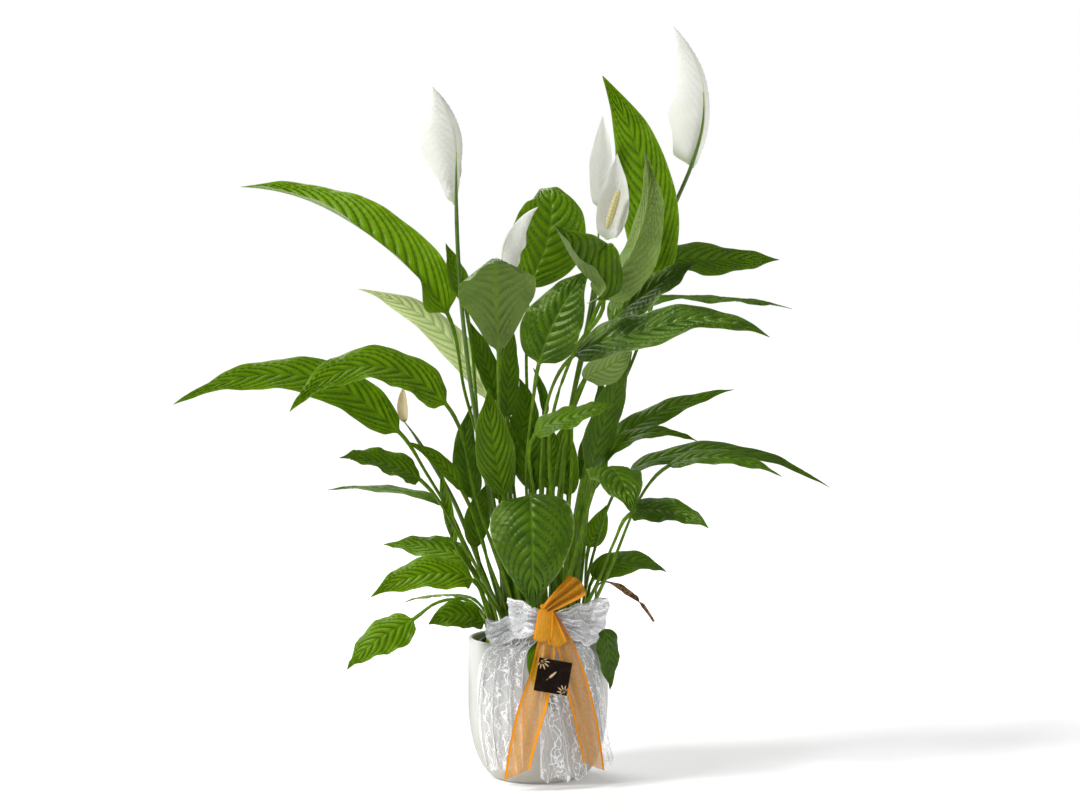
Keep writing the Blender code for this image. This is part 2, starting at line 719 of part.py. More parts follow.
def block(name, centre, size, finish):
    mesh = bpy.data.meshes.new(name)
    bm = bmesh.new()
    bmesh.ops.create_cube(bm, size=1)
    bmesh.ops.scale(bm, verts=bm.verts, vec=size)
    bmesh.ops.bevel(
        bm, geom=bm.edges[:], offset=min(size) * 0.25, segments=2, profile=0.5, affect="EDGES"
    )
    bmesh.ops.translate(bm, verts=bm.verts, vec=centre)
    bm.to_mesh(mesh)
    bm.free()
    return add_object(name, mesh, finish)


def band(name, stops, thickness, finish):
    """A flat band in front of the pot through stops of (x, y, z, half width), facing the viewer."""
    path = Path([Vector(stop[:3]) for stop in stops], Vector(stops[1][:3]) - Vector(stops[0][:3]))
    rows = 2 * (len(stops) - 1)

    def place(k, v):
        point, way = path.at(path.lengths[-1] * k / rows)
        share = k / rows * (len(stops) - 1)
        near = min(int(share), len(stops) - 2)
        half = stops[near][3] + (stops[near + 1][3] - stops[near][3]) * (share - near)
        face = Vector((0, -1, 0))
        face = (face - way * face.dot(way)).normalized()
        return point + way.cross(face) * (v * half)

    return sheet_solid(name, rows + 1, 2, place, (thickness,), None, finish)


def tail(name, out, stops, across, finish):
    """A ribbon's hanging end, held round the pot at a distance outside its wall. A stop is the
    bearing in degrees, the height, and half the width in degrees."""
    rows = 3 * (len(stops) - 1)

    def place(k, v):
        share = k / rows * (len(stops) - 1)
        near = min(int(share), len(stops) - 2)
        bearing, height, half = (
            a + (b - a) * (share - near) for a, b in zip(stops[near], stops[near + 1])
        )
        angle = math.radians(bearing + v * half)
        reach = POT_RADIUS + out
        return Vector((reach * math.cos(angle), reach * math.sin(angle), height))

    return sheet_solid(name, rows + 1, across, place, (RIBBON,), None, finish)


def lace_bow():
    finish = lace_white()
    knot_height = POT_HEIGHT + KNOT_OVER_RIM
    front = -(POT_RADIUS + LACE_BOW_OUT)
    skirt = tail(
        "lace_skirt",
        LACE_OUT,
        [
            (-85, knot_height, 3),
            (-87, POT_HEIGHT - 0.006, 42),
            (-86, POT_HEIGHT / 2, 42),
            (-85, TAIL_END_HEIGHT, 40),
        ],
        10,
        finish,
    )
    loops = band(
        "lace_loops",
        [
            (-0.066, front + 0.010, knot_height - 0.008, 0.024),
            (-0.030, front, knot_height - 0.002, 0.018),
            (0.009, front, knot_height, 0.007),
            (0.050, front, knot_height + 0.002, 0.018),
            (0.084, front + 0.012, knot_height - 0.002, 0.020),
        ],
        RIBBON,
        finish,
    )
    knot = block("lace_bow", (0.009, front + 0.001, knot_height), (0.014, 0.008, 0.016), finish)
    return joined(knot, [skirt, loops])


def organza_bow():
    finish = organza_orange()
    knot_height = POT_HEIGHT + KNOT_OVER_RIM
    front = -(POT_RADIUS + KNOT_OUT)
    left = tail(
        "organza_tail_left",
        LEFT_TAIL_OUT,
        [
            (-85, knot_height, 4),
            (-92, POT_HEIGHT * 0.75, 7),
            (-100, POT_HEIGHT * 0.4, 7.5),
            (-106, TAIL_END_HEIGHT, 6.5),
        ],
        2,
        finish,
    )
    right = tail(
        "organza_tail_right",
        RIGHT_TAIL_OUT,
        [
            (-84, knot_height, 4),
            (-70, POT_HEIGHT * 0.75, 7),
            (-58, POT_HEIGHT * 0.45, 7.5),
            (-51, TAIL_END_HEIGHT + 0.01, 7),
        ],
        2,
        finish,
    )
    loop_low = band(
        "organza_loop_low",
        [(0.006, front, knot_height - 0.002, 0.008), (0.003, front, knot_height - 0.032, 0.011)],
        0.006,
        finish,
    )
    loop_high = band(
        "organza_loop_high",
        [
            (0.012, front, knot_height + 0.002, 0.006),
            (0.030, front, knot_height + 0.018, 0.012),
            (0.048, front, knot_height + 0.030, 0.010),
        ],
        0.006,
        finish,
    )
    knot = block("organza_bow", (0.009, front, knot_height), (0.012, 0.012, 0.014), finish)
    return joined(knot, [left, right, loop_low, loop_high])


def gift_tag():
    mesh = bpy.data.meshes.new("gift_tag")
    bm = bmesh.new()
    bmesh.ops.create_cube(bm, size=1)
    bmesh.ops.scale(bm, verts=bm.verts, vec=(TAG_SIZE, TAG_THICKNESS, TAG_SIZE))
    bm.to_mesh(mesh)
    bm.free()
    made = add_object("gift_tag", mesh, tag_card())
    made.location = (0.017, -(POT_RADIUS + TAG_OUT), POT_HEIGHT - 0.030)
    made.rotation_euler = (0, math.radians(10), 0)
    return made


def plant():
    for name, (root, petiole, blade, width, face, tip_face, fold) in LEAVES.items():
        knots = [on_soil(root)] + [over_soil(point) for point in petiole + blade]
        finish = dry_brown() if name == "leaf_dry_right" else leaf_green()
        leaf(name, knots, len(petiole) + 1, width, face, tip_face, fold, finish)
    for name, (root, petiole, blade, width, face, tip_face, fold) in RIM_LEAVES.items():
        knots = [on_soil(root)] + [over_rim(point) for point in petiole + blade]
        leaf(name, knots, len(petiole) + 1, width, face, tip_face, fold, leaf_green())
    for name, (root, stem, blade, width, face, club) in FLOWERS.items():
        stalk(f"{name}_stalk", [on_soil(root)] + [over_soil(point) for point in stem], stalk_green())
        spathe(f"{name}_spathe", [over_soil(point) for point in blade], width, face, spathe_white())
        if club:
            spadix(f"{name}_spadix", over_soil(club[0]), over_soil(club[1]), spadix_cream())
    knots = [on_soil(FADED_ROOT)] + [over_soil(point) for point in FADED_STALK + FADED_BLADE]
    leaf("flower_faded", knots, len(FADED_STALK) + 1, FADED_WIDTH, (0, -1, 0), (0, -1, 0), 10, spathe_white())


def build():
    for old in list(bpy.data.objects):
        bpy.data.objects.remove(old, do_unlink=True)
    for name in (COLLECTION, "cutters"):
        bpy.context.scene.collection.children.link(bpy.data.collections.new(name))
    ceramic_pot()
    grow_pot()
    soil()
    plant()
    lace_bow()
    organza_bow()
    gift_tag()


build()
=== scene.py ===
"""A potted peace lily, finished: ceramic pot, grow pot, soil, leaves, flowers, lace, organza bow and tag.

Metres unless a table says millimetres, +Z up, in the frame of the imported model. The viewer's side
is -Y. Each section makes one piece or one group of like pieces, in the order in which the plant is
potted and dressed.
"""

import math
import random

import bmesh
import bpy
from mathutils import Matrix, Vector, noise
from mathutils.geometry import interpolate_bezier


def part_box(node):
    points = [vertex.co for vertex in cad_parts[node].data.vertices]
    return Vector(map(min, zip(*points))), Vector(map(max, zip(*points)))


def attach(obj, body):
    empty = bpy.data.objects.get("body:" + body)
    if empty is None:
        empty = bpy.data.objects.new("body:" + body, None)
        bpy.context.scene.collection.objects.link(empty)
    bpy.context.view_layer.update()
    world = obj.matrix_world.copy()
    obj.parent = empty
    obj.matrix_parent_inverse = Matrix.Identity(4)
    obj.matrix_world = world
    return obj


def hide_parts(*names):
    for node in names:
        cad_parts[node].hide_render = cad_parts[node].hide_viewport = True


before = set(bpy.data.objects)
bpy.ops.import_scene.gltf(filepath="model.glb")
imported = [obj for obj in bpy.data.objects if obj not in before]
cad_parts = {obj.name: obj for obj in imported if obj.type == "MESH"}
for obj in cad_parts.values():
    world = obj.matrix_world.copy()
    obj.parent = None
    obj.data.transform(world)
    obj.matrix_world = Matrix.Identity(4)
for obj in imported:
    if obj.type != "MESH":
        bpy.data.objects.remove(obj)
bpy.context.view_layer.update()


# ---- Camera, at standing distance and a little above the middle of the plant.
CAMERA_PLACE = (0.0023, -3.06, 0.621)
CAMERA_TILT = -3.44
CAMERA_LENS = 87.6

camera = bpy.data.objects.new("camera", bpy.data.cameras.new("camera"))
camera.location = CAMERA_PLACE
camera.rotation_euler = (math.radians(90 + CAMERA_TILT), 0, 0)
camera.data.lens = CAMERA_LENS
bpy.context.scene.collection.objects.link(camera)
bpy.context.scene.camera = camera


# ---- Ceramic pot: slip-cast in one piece, straight above a rounded lower part, with a rounded lip
# and a matte pale grey glaze that is a little uneven and thins on the lip. Painted shade darkens its
# colour towards the foot, where the pot curves under. It stands on its foot.
POT_FOOT_RADIUS = 0.046
POT_CURVE_HEIGHT = 0.090
POT_WALL = 0.006
POT_FLOOR = 0.008
POT_FOOT_ROUND = 0.0015
POT_STEPS = 144
POT_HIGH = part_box("ceramic_pot")[1]
POT_HEIGHT = POT_HIGH.z
POT_RADIUS = POT_HIGH.x

GLAZE = (0.57, 0.57, 0.54, 1)
GLAZE_THIN = (0.52, 0.51, 0.46, 1)
GLAZE_FOOT_SHADE = (0.43, 0.41, 0.35, 1)
GLAZE_SPECK = (0.40, 0.39, 0.35, 1)


def pot_radius(height, out=0.0, floor=0.0):
    """The pot's wall at a height: a quarter ellipse up to the curve height, then straight."""
    share = min(max((height - floor) / (POT_CURVE_HEIGHT - floor), 0.0), 1.0)
    return POT_FOOT_RADIUS + (POT_RADIUS - POT_FOOT_RADIUS) * math.sqrt(1 - (1 - share) ** 2) + out


def pot_profile():
    """(radius, height) from the middle of the floor, up the inside, over the lip and down to the foot."""
    quarter = [math.pi / 2 * k / 20 for k in range(21)]
    lip = POT_WALL / 2
    inside = [POT_FLOOR + (POT_CURVE_HEIGHT - POT_FLOOR) * (1 - math.cos(turn)) for turn in quarter]
    outside = [POT_CURVE_HEIGHT * (1 - math.cos(turn)) for turn in quarter]
    points = [(0, POT_FLOOR)]
    points += [(pot_radius(height, -POT_WALL, POT_FLOOR), height) for height in inside]
    for turn in [math.pi * (1 - k / 10) for k in range(11)]:
        points.append((POT_RADIUS - lip + lip * math.cos(turn), POT_HEIGHT - lip + lip * math.sin(turn)))
    points += [(pot_radius(height), height) for height in outside[:0:-1]]
    points += [(POT_FOOT_RADIUS, POT_FOOT_ROUND * 0.6), (POT_FOOT_RADIUS - POT_FOOT_ROUND, 0), (0, 0)]
    return points


def keep_mesh(name, bm, finish, smooth_under=60):
    """Makes the finished piece from its mesh, smooth but for edges sharper than the angle given."""
    mesh = bpy.data.meshes.new(name)
    bm.to_mesh(mesh)
    bm.free()
    mesh.materials.append(finish)
    mesh.shade_smooth()
    mesh.set_sharp_from_angle(angle=math.radians(smooth_under))
    made = bpy.data.objects.new(name, mesh)
    bpy.context.scene.collection.objects.link(made)
    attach(made, "root")
    return made


def turned(name, profile, steps, finish):
    """A turned piece: a profile of (radius, height) spun about the middle, closed and facing out."""
    bm = bmesh.new()
    line = [bm.verts.new((radius, 0, height)) for radius, height in profile]
    edges = [bm.edges.new(pair) for pair in zip(line, line[1:])]
    bmesh.ops.spin(
        bm, geom=line + edges, cent=(0, 0, 0), axis=(0, 0, 1), angle=2 * math.pi, steps=steps, use_merge=True
    )
    bmesh.ops.remove_doubles(bm, verts=bm.verts, dist=1e-6)
    bmesh.ops.recalc_face_normals(bm, faces=bm.faces)
    return keep_mesh(name, bm, finish, 40)


def new_node(tree, kind, inputs=None, **settings):
    """Adds a node. An input is a plain value or another node's output."""
    made = tree.nodes.new(kind)
    for key, value in settings.items():
        setattr(made, key, value)
    for key, value in (inputs or {}).items():
        if isinstance(value, bpy.types.NodeSocket):
            tree.links.new(value, made.inputs[key])
        else:
            made.inputs[key].default_value = value
    return made


def sums(tree, operation, *values):
    """A Math node on one to three values."""
    return new_node(tree, "ShaderNodeMath", dict(enumerate(values)), operation=operation).outputs[0]


def times(tree, first, second):
    return sums(tree, "MULTIPLY", first, second)


def between(tree, value, low, high, start=0.0, end=1.0):
    """start up to low and end from high on, turning smoothly between them."""
    inputs = {"Value": value, "From Min": low, "From Max": high, "To Min": start, "To Max": end}
    return new_node(tree, "ShaderNodeMapRange", inputs, interpolation_type="SMOOTHSTEP").outputs["Result"]


def blend(tree, factor, first, second):
    """A colour from first to second as factor goes from 0 to 1."""
    inputs = {0: factor, 6: first, 7: second}
    return new_node(tree, "ShaderNodeMix", inputs, data_type="RGBA").outputs[2]


def cloudy(tree, where, scale, detail=3.0, rough=0.5):
    """Soft noise of about 1/scale metres, around 0.5."""
    inputs = {"Vector": where, "Scale": scale, "Detail": detail, "Roughness": rough}
    return new_node(tree, "ShaderNodeTexNoise", inputs).outputs[0]


def own_place(tree):
    return new_node(tree, "ShaderNodeTexCoord").outputs["Object"]


def finish_named(name, **constants):
    """A material with its Principled shader, whose even values are set on its own sockets."""
    made = bpy.data.materials.new(name)
    made.use_nodes = True
    shader = made.node_tree.nodes["Principled BSDF"]
    for key, value in constants.items():
        shader.inputs[key.replace("_", " ")].default_value = value
    return made, made.node_tree, shader


def bumped(tree, shader, height, distance, strength=1.0):
    bump = new_node(tree, "ShaderNodeBump", {"Height": height, "Distance": distance, "Strength": strength})
    tree.links.new(bump.outputs[0], shader.inputs["Normal"])


def ceramic_glaze():
    made, tree, shader = finish_named("pale_ceramic", Specular_IOR_Level=0.45)
    place = own_place(tree)
    height = new_node(tree, "ShaderNodeSeparateXYZ", {0: place}).outputs[2]
    lip = between(tree, height, POT_HEIGHT - 0.003, POT_HEIGHT)
    patches = between(tree, cloudy(tree, place, 28), 0.35, 0.7)
    colour = blend(tree, times(tree, patches, 0.35), GLAZE, GLAZE_THIN)
    colour = blend(tree, times(tree, lip, 0.5), colour, GLAZE_THIN)
    # Painted shade: the colour darkens towards the foot, where the pot curves under.
    colour = blend(tree, between(tree, height, 0.0, 0.085, 0.85, 0.0), colour, GLAZE_FOOT_SHADE)
    specks = between(tree, cloudy(tree, place, 900, 2.0), 0.66, 0.74)
    colour = blend(tree, times(tree, specks, 0.4), colour, GLAZE_SPECK)
    tree.links.new(colour, shader.inputs["Base Color"])
    tree.links.new(between(tree, patches, 0.0, 1.0, 0.42, 0.55), shader.inputs["Roughness"])
    grain = sums(tree, "ADD", cloudy(tree, place, 60), times(tree, cloudy(tree, place, 700), 0.25))
    bumped(tree, shader, grain, 0.0004, 0.5)
    return made


ceramic_pot = turned("ceramic_pot_glazed", pot_profile(), POT_STEPS, ceramic_glaze())
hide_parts("ceramic_pot")


# ---- Grow pot: the thin black plastic nursery pot that the plant was raised in, moulded with a
# rolled rim and drain holes. It stands inside the ceramic pot, and only its rim shows.
PLASTIC = (0.018, 0.018, 0.019, 1)
PLASTIC_DUSTY = (0.05, 0.043, 0.036, 1)


def grow_pot_plastic():
    made, tree, shader = finish_named("black_plastic")
    place = own_place(tree)
    dust = between(tree, cloudy(tree, place, 90, 5.0), 0.45, 0.7)
    tree.links.new(blend(tree, dust, PLASTIC, PLASTIC_DUSTY), shader.inputs["Base Color"])
    tree.links.new(between(tree, dust, 0.0, 1.0, 0.38, 0.75), shader.inputs["Roughness"])
    bumped(tree, shader, cloudy(tree, place, 500), 0.0002)
    return made


grow_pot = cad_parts["grow_pot"]
grow_pot.data.materials.clear()
grow_pot.data.materials.append(grow_pot_plastic())


# ---- Soil: peat mix with bark crumbs, filled to just under the grow pot's rim and a little
# uneven. The crumbs are loose on top.
SOIL_STEPS = 90
SOIL_RELIEF = 0.0022
SOIL_CRUMBS = 420
CRUMB_SIZES = (0.0008, 0.0026)
SOIL_LOW, SOIL_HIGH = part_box("soil")
SOIL_TOP = SOIL_HIGH.z
SOIL_RADIUS = SOIL_HIGH.x
SOIL_FOOT_RADIUS = 0.0424

PEAT = (0.030, 0.018, 0.011, 1)
PEAT_DRY = (0.085, 0.052, 0.030, 1)
BARK = (0.16, 0.085, 0.042, 1)


def soil_relief(x, y):
    rough = noise.fractal(Vector((x, y, 0.3)) * 160, 0.8, 2.0, 4)
    swell = noise.noise(Vector((x, y, 1.7)) * 35)
    return -SOIL_RELIEF * (0.5 + 0.35 * rough + 0.35 * swell)


def soil_body(finish):
    """A square grid drawn out to a disc, roughened, then its rim carried down and closed below."""
    bm = bmesh.new()
    bmesh.ops.create_grid(bm, x_segments=SOIL_STEPS, y_segments=SOIL_STEPS, size=1)
    for vertex in bm.verts:
        x, y = vertex.co.x, vertex.co.y
        x, y = x * math.sqrt(1 - y * y / 2) * SOIL_RADIUS, y * math.sqrt(1 - x * x / 2) * SOIL_RADIUS
        vertex.co = (x, y, SOIL_TOP + soil_relief(x, y))
    rim = [edge for edge in bm.edges if edge.is_boundary]
    wall = bmesh.ops.extrude_edge_only(bm, edges=rim)["geom"]
    shrink = SOIL_FOOT_RADIUS / SOIL_RADIUS
    for vertex in [item for item in wall if isinstance(item, bmesh.types.BMVert)]:
        vertex.co = (vertex.co.x * shrink, vertex.co.y * shrink, SOIL_LOW.z)
    bmesh.ops.holes_fill(bm, edges=[edge for edge in bm.edges if edge.is_boundary], sides=0)
    bmesh.ops.recalc_face_normals(bm, faces=bm.faces)
    return keep_mesh("soil_mix", bm, finish, 70)


def soil_crumbs(finish):
    """Loose crumbs: small rough lumps, half of them drawn out like bark."""
    draw = random.Random(7)
    bm = bmesh.new()
    for _ in range(SOIL_CRUMBS):
        size = draw.uniform(*CRUMB_SIZES) * draw.uniform(0.5, 1)
        reach = (SOIL_RADIUS - 0.004) * math.sqrt(draw.random())
        turn = draw.uniform(0, 2 * math.pi)
        x, y = reach * math.cos(turn), reach * math.sin(turn)
        lump = bmesh.ops.create_icosphere(bm, subdivisions=1, radius=size)["verts"]
        for vertex in lump:
            vertex.co *= draw.uniform(0.7, 1.15)
        bmesh.ops.scale(bm, verts=lump, vec=(draw.uniform(0.8, 2.2), draw.uniform(0.7, 1.1), 0.6))
        lay = Vector((draw.gauss(0, 0.25), draw.gauss(0, 0.25), 1)).to_track_quat("Z", "X").to_matrix()
        bmesh.ops.rotate(bm, verts=lump, matrix=lay)
        spin = Vector((math.cos(turn * 3), math.sin(turn * 3), 0)).to_track_quat("X", "Z").to_matrix()
        bmesh.ops.rotate(bm, verts=lump, matrix=spin)
        rest = SOIL_TOP + soil_relief(x, y) + size * 0.2
        bmesh.ops.translate(bm, verts=lump, vec=(x, y, min(rest, SOIL_TOP + 0.002)))
    bmesh.ops.recalc_face_normals(bm, faces=bm.faces)
    return keep_mesh("soil_crumbs", bm, finish, 50)


def soil_finish(name, fine, dry):
    """Moist peat, paler where it has dried. fine is the grain's scale and dry the paler colour."""
    made, tree, shader = finish_named(name, Specular_IOR_Level=0.25)
    place = own_place(tree)
    patches = between(tree, cloudy(tree, place, 130, 6.0, 0.65), 0.42, 0.66)
    tree.links.new(blend(tree, patches, PEAT, dry), shader.inputs["Base Color"])
    tree.links.new(between(tree, patches, 0.0, 1.0, 0.7, 0.97), shader.inputs["Roughness"])
    bumped(tree, shader, cloudy(tree, place, fine, 6.0, 0.7), 0.0016)
    return made


soil = soil_body(soil_finish("soil", 500, PEAT_DRY))
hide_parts("soil")
crumbs = soil_crumbs(soil_finish("soil_bark", 900, BARK))


# ---- Leaves: each grew as one piece, a channelled petiole that runs on as the blade's midrib. The
# blade is waxy above and paler below, puffed between veins that arc from the midrib to the tip.
# Painted shade darkens bands along the side veins, above and below.
# A row is: tone and light (0 deep green, 1 fresh, 2 pale), where the blade is broadest (0 collar,
# 1 tip), root on the soil (x, y), petiole points, blade points from collar to tip, greatest width, the
# fold (degrees that both halves or each of the two stand up), the way the upper side faces and, where
# it differs, the way it faces at the tip. The tone is partly painted light: it is set leaf by leaf to
# how bright each leaf looks, fresher for leaves lit from behind and deeper for leaves in shade.
# Lengths are in millimetres and heights are over the soil.
LEAVES = {
    "leaf_high_left": (0.95, 0.33, (-40, -2), [(-55, 0, 190), (-85, 0, 295)],
        [(-105, 2, 387), (-150, 16, 440), (-215, 40, 491), (-285, 70, 525), (-356, 95, 537)],
        82, (72, 5), (0.1, -0.9, 0.4), (0, -0.85, 0.55)),
    "leaf_pale_left": (2, 0.4, (-28, 30), [(-50, 50, 200)],
        [(-60, 62, 284), (-125, 105, 372), (-220, 160, 414)], 38, 5, (0, -0.75, 0.65), (0, -0.7, 0.7)),
    "leaf_far_left": (0.6, 0.33, (-44, -21), [(-90, -30, 135), (-130, -25, 205)],
        [(-160, -20, 250), (-264, -35, 316), (-416, -70, 286)],
        58, (10, 5), (0, -0.75, 0.65), (0, -0.7, 0.7)),
    "leaf_front_left": (0.7, 0.33, (-24, -38), [(-70, -58, 175)],
        [(-104, -75, 286), (-188, -110, 332), (-274, -165, 284)], 62, (16, 8), (0, -0.7, 0.7)),
    "leaf_silver_left": (0.4, 0.33, (-36, -34), [(-85, -62, 125)],
        [(-134, -72, 200), (-180, -95, 222), (-222, -130, 230)], 48, 15, (0, -0.6, 0.8)),
    "leaf_narrow_left": (0.4, 0.33, (-54, -6), [(-80, -10, 100)],
        [(-110, -10, 164), (-176, 0, 182), (-248, 20, 180)], 28, 10, (0, -0.2, 1)),
    "leaf_low_left": (0.8, 0.33, (-54, 12), [(-62, 12, 50)],
        [(-80, 15, 92), (-126, 30, 110), (-184, 50, 112)], 42, 10, (0, -0.6, 0.8)),
    "leaf_thin_left": (0.6, 0.33, (-52, 26), [(-60, 30, 30)],
        [(-76, 40, 48), (-116, 65, 50), (-164, 95, 36)], 30, 0, (0, 0.1, 1)),
    "leaf_hanging_left": (0.7, 0.33, (-56, -17), [(-78, -30, 55), (-115, -35, 55)],
        [(-144, -42, 36), (-188, -62, 12), (-218, -85, -16)], 48, 0, (-0.3, -0.8, 0.5), (-0.5, -0.7, 0.3)),
    "leaf_rim_left": (0.45, 0.33, (-48, -31), [(-56, -54, 30)],
        [(-62, -62, 36), (-90, -74, 46), (-125, -85, 36)], 42, 10, (0.1, -0.6, 0.8), (0.3, -0.8, 0.5)),
    "leaf_back_heart": (0.45, 0.45, (-4, 40), [(-10, 55, 225), (-14, 68, 340)],
        [(-10, 82, 415), (12, 94, 476), (15, 108, 525), (4, 135, 536)],
        88, 5, (0.1, -1, 0.2), (0, -0.3, 1)),
    "leaf_centre_grey": (0.3, 0.5, (-17, -27), [(-40, -45, 195), (-45, -55, 290)],
        [(-45, -62, 345), (-48, -82, 418), (-48, -125, 446), (-48, -210, 448)],
        94, (-16, -30), (0, 0.9, 0.4), (0, 0.2, 1)),
    "leaf_centre_dark": (0.12, 0.33, (0, -10), [(-14, -10, 200), (-6, -8, 285)],
        [(1, -6, 330), (22, -6, 385), (60, -6, 440)], 72, 5, (-0.2, -0.9, 0.3), (-0.2, -0.8, 0.5)),
    "leaf_folded": (0.3, 0.36, (28, -14), [(20, -40, 140), (14, -60, 255), (42, -92, 350)],
        [(74, -100, 405), (44, -104, 444), (19, -108, 490)], 102, (84, 0), (0.1, -0.9, 0.4)),
    "leaf_silver_back": (0.5, 0.27, (22, 6), [(32, -36, 235), (52, -52, 350)],
        [(72, -62, 405), (107, -76, 461), (124, -76, 518), (120, -65, 575)],
        60, (0, 78), (0, 0.95, 0.2), (-0.3, 0.9, 0.2)),
    "leaf_upright_dark": (0.62, 0.36, (36, 20), [(58, 24, 200), (120, 34, 355)],
        [(138, 42, 420), (130, 48, 520), (114, 56, 590), (76, 70, 668)],
        68, 8, (-0.3, -0.95, 0), (-0.3, -0.9, 0.2)),
    "leaf_right_back": (0.4, 0.33, (32, 38), [(60, 50, 225), (122, 60, 390)],
        [(150, 68, 444), (218, 95, 450), (292, 125, 450)], 54, 8, (0, -0.7, 0.7)),
    "leaf_right_inner": (0.12, 0.33, (16, -24), [(22, -20, 215), (58, -24, 320)],
        [(82, -34, 376), (136, -42, 420), (186, -40, 450)], 62, 12, (0, -0.5, 0.85)),
    "leaf_right_thin": (0.2, 0.33, (36, 4), [(72, 6, 250)],
        [(120, 12, 394), (212, 35, 404), (302, 65, 392)], 40, 5, (0, -0.15, 1), (0, -0.25, 1)),
    "leaf_right_big": (0.08, 0.33, (10, -42), [(4, -46, 230), (16, -58, 305)],
        [(40, -76, 342), (114, -110, 370), (188, -135, 386), (256, -160, 366)],
        58, 8, (0, -0.7, 0.7), (0, -0.6, 0.8)),
    "leaf_silver_top": (0.15, 0.33, (32, -30), [(50, -32, 125)],
        [(62, -36, 210), (85, -42, 290), (108, -48, 345)], 42, 5, (0.5, -0.7, 0.2)),
    "leaf_level_centre": (0.4, 0.33, (4, -48), [(-4, -64, 175)],
        [(-4, -84, 252), (45, -94, 275), (90, -100, 290)], 44, 10, (0, -0.5, 0.85)),
    "leaf_silver_upright": (0.42, 0.4, (-14, -46), [(-30, -50, 105)],
        [(-40, -56, 180), (-52, -64, 245), (-56, -68, 305)], 46, 12, (0.25, -0.9, 0.2)),
    "leaf_dark_upright": (0.1, 0.33, (-38, 14), [(-60, 14, 100)],
        [(-76, 16, 170), (-86, 20, 225), (-78, 24, 280)], 32, 8, (0.3, -0.9, 0.2)),
    "leaf_slender": (0.3, 0.33, (-16, 14), [(-34, 14, 190)],
        [(-36, 14, 265), (-34, 14, 320), (-30, 18, 380)], 26, 8, (0.4, -0.9, 0.1)),
    "leaf_inner_mid": (0.5, 0.33, (4, 22), [(8, 30, 120)],
        [(12, 36, 180), (15, 40, 215), (16, 42, 255)], 34, 8, (0.2, -0.9, 0.1)),
    "leaf_front_heart": (0.12, 0.32, (-8, -60), [(-10, -72, 110)],
        [(-9, -106, 186), (-6, -142, 140), (-6, -142, 62)], 93, 0, (0, -0.95, 0.3), (0, -1, 0.1)),
    "leaf_right_drooping": (0.25, 0.33, (24, -52), [(50, -62, 140)],
        [(75, -82, 212), (90, -125, 210), (105, -160, 170)], 60, 0, (0.2, -0.6, 0.8), (0.2, -0.8, 0.5)),
    "leaf_right_low": (0.2, 0.33, (40, -42), [(70, -56, 85), (88, -64, 130)],
        [(104, -70, 160), (150, -90, 166), (192, -120, 150)], 42, 8, (0, -0.6, 0.8)),
    "leaf_right_hooked": (0.3, 0.33, (38, -12), [(54, -18, 135)],
        [(72, -22, 216), (120, -32, 250), (184, -45, 242)], 28, 10, (0, -0.5, 0.85)),
    "leaf_right_pointed": (0.3, 0.33, (42, 16), [(56, 20, 145)],
        [(76, 30, 220), (132, 55, 262), (236, 100, 294)], 34, 8, (0, -0.6, 0.8)),
    "leaf_right_front_thin": (0.25, 0.33, (54, -16), [(88, -34, 105), (126, -40, 190)],
        [(150, -46, 214), (204, -65, 226), (276, -95, 206)], 30, 8, (0, -0.5, 0.85)),
    "leaf_far_right": (0.2, 0.33, (50, 4), [(66, 14, 110)],
        [(106, 14, 200), (150, 18, 220), (232, 25, 226), (344, 30, 182)], 36, 8, (0, -0.4, 0.9)),
    "leaf_low_right": (0.3, 0.33, (56, -4), [(58, -10, 50)],
        [(64, -8, 78), (110, 4, 98), (152, 25, 82)], 40, 8, (0, -0.6, 0.8)),
    "leaf_young_right": (0.6, 0.33, (54, 18), [(56, 32, 55)],
        [(60, 40, 110), (71, 42, 135), (81, 44, 160)], 26, 8, (0.2, -0.8, 0.5)),
}

# Leaves that lean on or hang over the rim: the same, but a point is the bearing in degrees (-90 is the
# viewer's side), the distance outside the pot's wall and the height over the rim.
RIM_LEAVES = {
    "leaf_bright_left": (0.85, 0.33, (-34, -48), [(-130, 5, 35)],
        [(-131, 30, 76), (-137, 87, 88), (-141, 158, 66)], 52, 8, (0, -0.65, 0.75)),
    "leaf_rim_right": (0.1, 0.33, (49, -31), [(-34, -8, 18)],
        [(-34, 8, 16), (-33, 15, -15), (-32, 16, -55)], 36, 5, (0.7, -0.7, 0.2), (0.7, -0.7, 0)),
    "leaf_rim_front": (0.4, 0.33, (2, -60), [(-90, -8, 10)],
        [(-90, 3, 8), (-88, 4.5, -30), (-77, 4.5, -75)], 26, 0, (0, -1, 0.1), (0.1, -1, 0)),
}

